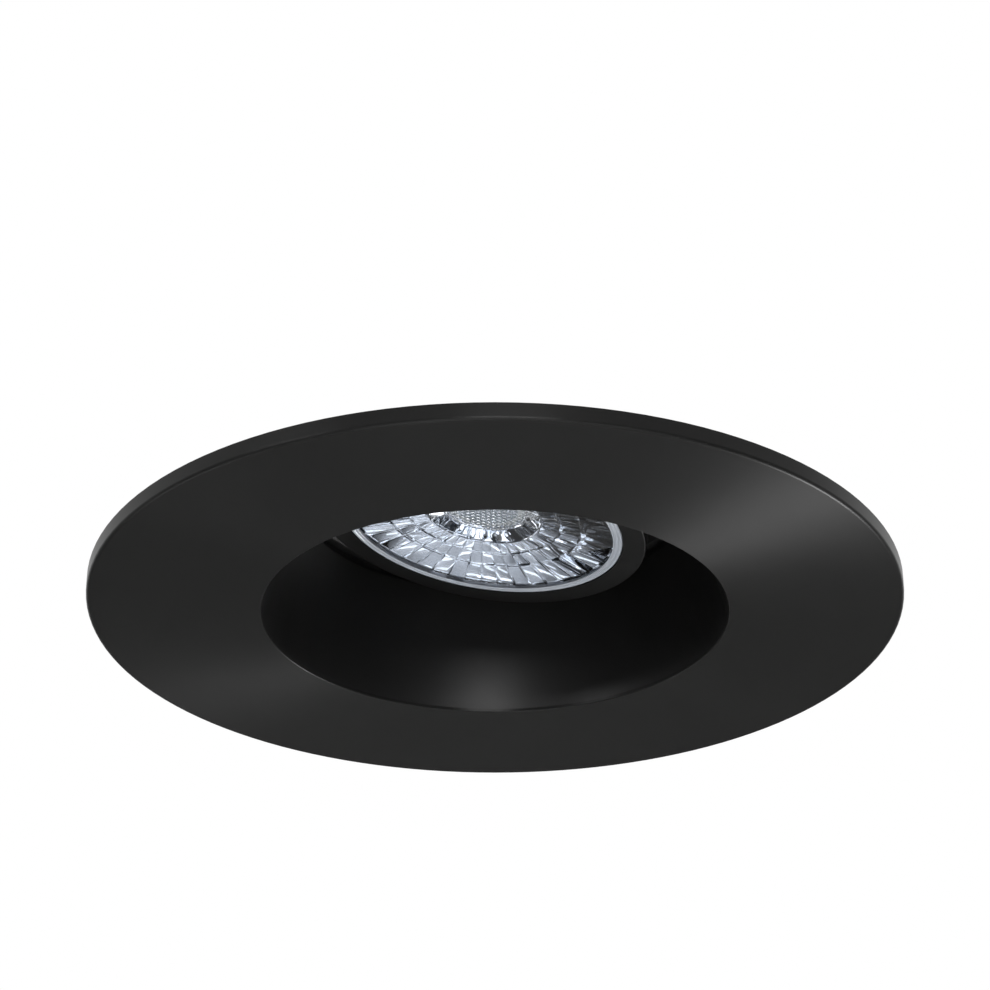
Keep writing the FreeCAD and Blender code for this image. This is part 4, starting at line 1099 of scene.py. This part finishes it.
@dataclass
class Studio:
    """Soffit, floor, lamps, world and camera. Sizes are in metres, and the lens in millimetres."""

    soffit_height: float = 0.0004
    soffit_half: float = 0.6
    cutout: float = 0.0525
    soffit_steps: int = 96
    void_radius: float = 0.1
    void_splits: int = 4
    floor_height: float = -0.75
    floor_half: float = 15.0
    floor_white: float = 0.75
    floor_gloss: float = 0.04
    surround_light: float = 0.14
    lens_length: float = 105.96
    sensor_width: float = 36.0
    clip_start: float = 0.01
    eye: Spot = (0.0, -0.3888, -0.1874)
    gaze: Spot = (0.0, 0.8841, 0.4672)

    def camera(self) -> None:
        """Sets the camera at the photograph's angle."""
        data = bpy.data.cameras.new("camera")
        data.lens = self.lens_length
        data.sensor_width = self.sensor_width
        data.clip_start = self.clip_start
        made = bpy.data.objects.new("camera", data)
        made.location = self.eye
        made.rotation_mode = "QUATERNION"
        made.rotation_quaternion = Vector(self.gaze).to_track_quat("-Z", "Y")
        bpy.context.scene.collection.objects.link(made)
        bpy.context.scene.camera = made

    @staticmethod
    def white_for(graph: Graph, sockets: Sequence[str]) -> Wire:
        """Tells the kinds of ray apart: 1 for those that are named, else 0.

        Args:
            graph: the graph to build in.
            sockets: Light Path's outputs.

        Returns:
            The share.
        """
        wires = [graph.node("ShaderNodeLightPath", output=name) for name in sockets]
        total = wires[0]
        for wire in wires[1:]:
            total = total + wire
        return graph.node("ShaderNodeClamp", {}, {"Value": total}, "Result")

    def world(self) -> None:
        """A dim even surround that shows white behind the object and in its gloss."""
        world = bpy.data.worlds.new("surround")
        bpy.context.scene.world = world
        world.use_nodes = True
        graph = Graph(world.node_tree)
        shown = self.white_for(graph, SEEN)
        strength = shown * (1.0 - self.surround_light) + self.surround_light
        light = graph.node("ShaderNodeBackground", {}, {"Color": WHITE, "Strength": strength})
        graph.node("ShaderNodeOutputWorld", {}, {"Surface": light})

    def floor(self) -> None:
        """A plain pale floor well below the lamp."""
        mesh = bmesh.new()
        bmesh.ops.create_grid(mesh, x_segments=1, y_segments=1, size=self.floor_half)
        bmesh.ops.translate(mesh, verts=mesh.verts, vec=(0.0, 0.0, self.floor_height))
        material, graph = start_material("floor_pale")
        matt = graph.node("ShaderNodeBsdfPrincipled", {}, {"Base Color": PALE, "Roughness": 0.9})
        pale = graph.node("ShaderNodeEmission", {}, {"Color": WHITE, "Strength": 1.0})
        seen = self.white_for(graph, SEEN[:1]) * self.floor_white
        mirrored = self.white_for(graph, MIRRORED) * self.floor_gloss
        shader = graph.node("ShaderNodeMixShader", {}, {0: seen + mirrored, 1: matt, 2: pale})
        graph.node("ShaderNodeOutputMaterial", {}, {"Surface": shader})
        self.stand("floor", mesh, material)

    def soffit(self) -> None:
        """The white board that the lamp hangs in, open to view from above."""
        mesh = bmesh.new()
        bmesh.ops.create_circle(mesh, segments=self.soffit_steps, radius=self.cutout)
        ring = bmesh.ops.extrude_edge_only(mesh, edges=mesh.edges)
        outer = [item for item in ring["geom"] if isinstance(item, bmesh.types.BMVert)]
        for vert in outer:
            vert.co *= self.soffit_half / self.cutout
        bmesh.ops.translate(mesh, verts=mesh.verts, vec=(0.0, 0.0, self.soffit_height))
        bmesh.ops.recalc_face_normals(mesh, faces=mesh.faces)
        if mesh.faces[:][0].normal.z > 0.0:
            bmesh.ops.reverse_faces(mesh, faces=mesh.faces)
        material, graph = start_material("soffit_white")
        matt = graph.node("ShaderNodeBsdfDiffuse", {}, {"Color": PALE})
        bright = graph.node("ShaderNodeEmission", {}, {"Color": WHITE, "Strength": 1.0})
        shown = self.white_for(graph, SEEN)
        front = graph.node("ShaderNodeMixShader", {}, {0: shown, 1: matt, 2: bright})
        clear = graph.node("ShaderNodeBsdfTransparent", {}, {"Color": WHITE})
        behind = graph.node("ShaderNodeNewGeometry", output="Backfacing")
        shadow = graph.node("ShaderNodeLightPath", output="Is Shadow Ray")
        see_through = graph.node("ShaderNodeClamp", {}, {"Value": behind + shadow}, "Result")
        shader = graph.node("ShaderNodeMixShader", {}, {0: see_through, 1: front, 2: clear})
        graph.node("ShaderNodeOutputMaterial", {}, {"Surface": shader})
        self.stand("soffit", mesh, material)

    def void(self) -> None:
        """A black dome of painted shade for the unlit space above the soffit, seen only from below
        through the lamp.
        """
        mesh = bmesh.new()
        bmesh.ops.create_icosphere(mesh, subdivisions=self.void_splits, radius=self.void_radius)
        below = [v for v in mesh.verts if v.co.z < 0.0]
        for vert in below:
            vert.co.z = 0.0
        bmesh.ops.translate(mesh, verts=mesh.verts, vec=(0.0, 0.0, self.soffit_height * 2.0))
        bmesh.ops.reverse_faces(mesh, faces=mesh.faces)
        floor = [f for f in mesh.faces if all(v.co.z < self.soffit_height * 3.0 for v in f.verts)]
        bmesh.ops.delete(mesh, geom=floor, context="FACES")
        material, graph = start_material("void_painted_shade")
        # painted shade: black for rays that look up through the lamp into the space above the soffit
        dark = graph.node("ShaderNodeEmission", {}, {"Color": BLACK, "Strength": 0.0})
        clear = graph.node("ShaderNodeBsdfTransparent", {}, {"Color": WHITE})
        inside = 1.0 - graph.node("ShaderNodeNewGeometry", output="Backfacing")
        passed = graph.node("ShaderNodeLightPath", output="Transparent Depth")
        first = 1.0 - (passed > 0.5)
        shown = self.white_for(graph, SEEN)
        shader = graph.node("ShaderNodeMixShader", {}, {0: inside * first * shown, 1: clear, 2: dark})
        graph.node("ShaderNodeOutputMaterial", {}, {"Surface": shader})
        self.stand("void", mesh, material)

    def stand(self, name: str, mesh: bmesh.types.BMesh, material: bpy.types.Material) -> None:
        """Puts a part of the set in the scene.

        Args:
            name: its name.
            mesh: its shape, in metres.
            material: its finish.
        """
        data = bpy.data.meshes.new(name)
        mesh.to_mesh(data)
        mesh.free()
        data.materials.append(material)
        made = bpy.data.objects.new(name, data)
        bpy.context.scene.collection.objects.link(made)

    def build(self) -> None:
        """Sets everything up."""
        self.camera()
        self.floor()
        self.soffit()
        self.void()
        for box in SOFT_BOXES:
            box.hang()
        self.world()
        bpy.context.scene.view_settings.view_transform = "Standard"


@dataclass
class Downlight:
    """The whole lamp: finishes for the CAD nodes, and the pieces that Blender makes."""

    frame: dict
    tilt_height: float = 26.4
    tilt: float = 9.28

    def __post_init__(self) -> None:
        """Works out the module's place and builds the finishes."""
        lift = Matrix.Translation((0.0, 0.0, self.tilt_height))
        self.place = lift @ Matrix.Rotation(math.radians(self.tilt), 4, "Y")
        lean = self.place.copy()
        lean.translation *= METRE
        self.materials = {finish.label: finish.material(lean) for finish in FINISHES}

    def dress(self) -> None:
        """Gives every CAD node its finish."""
        for name, node in sorted(self.frame["nodes"].items()):
            slots = [m.name if m else "" for m in node.data.materials]
            for number, slot in enumerate(slots):
                base = slot.split(".")[0]
                node.data.materials[number] = self.materials[base]
            LOG.info("%s: %s", name, ", ".join(slots))

    def build(self) -> None:
        """Dresses the nodes and makes the pieces."""
        self.dress()
        seals = Seals()
        seals.gasket(self.materials["foam"])
        seals.lens_ring(self.materials["silicone"], self.place)
        seals.sleeve(self.materials["clip_rubber"], self.place)
        seals.heat_pad(self.materials["pad_grey"], self.place)
        for side in ("right", "left"):
            seals.clip_pad(side, self.materials["clip_rubber"])
            ClipSpring().build(side, self.materials["spring_steel"])
        optics = Optics()
        optics.lens(self.materials["clear_optic"], self.materials["optic_rim"], self.place)
        optics.bowl(self.materials["mirror_metal"], self.place)


def main() -> None:
    """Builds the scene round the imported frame."""
    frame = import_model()
    Studio().build()
    Downlight(frame).build()


if __name__ == "__main__":
    logging.basicConfig(level=logging.INFO, format="%(message)s")
    main()
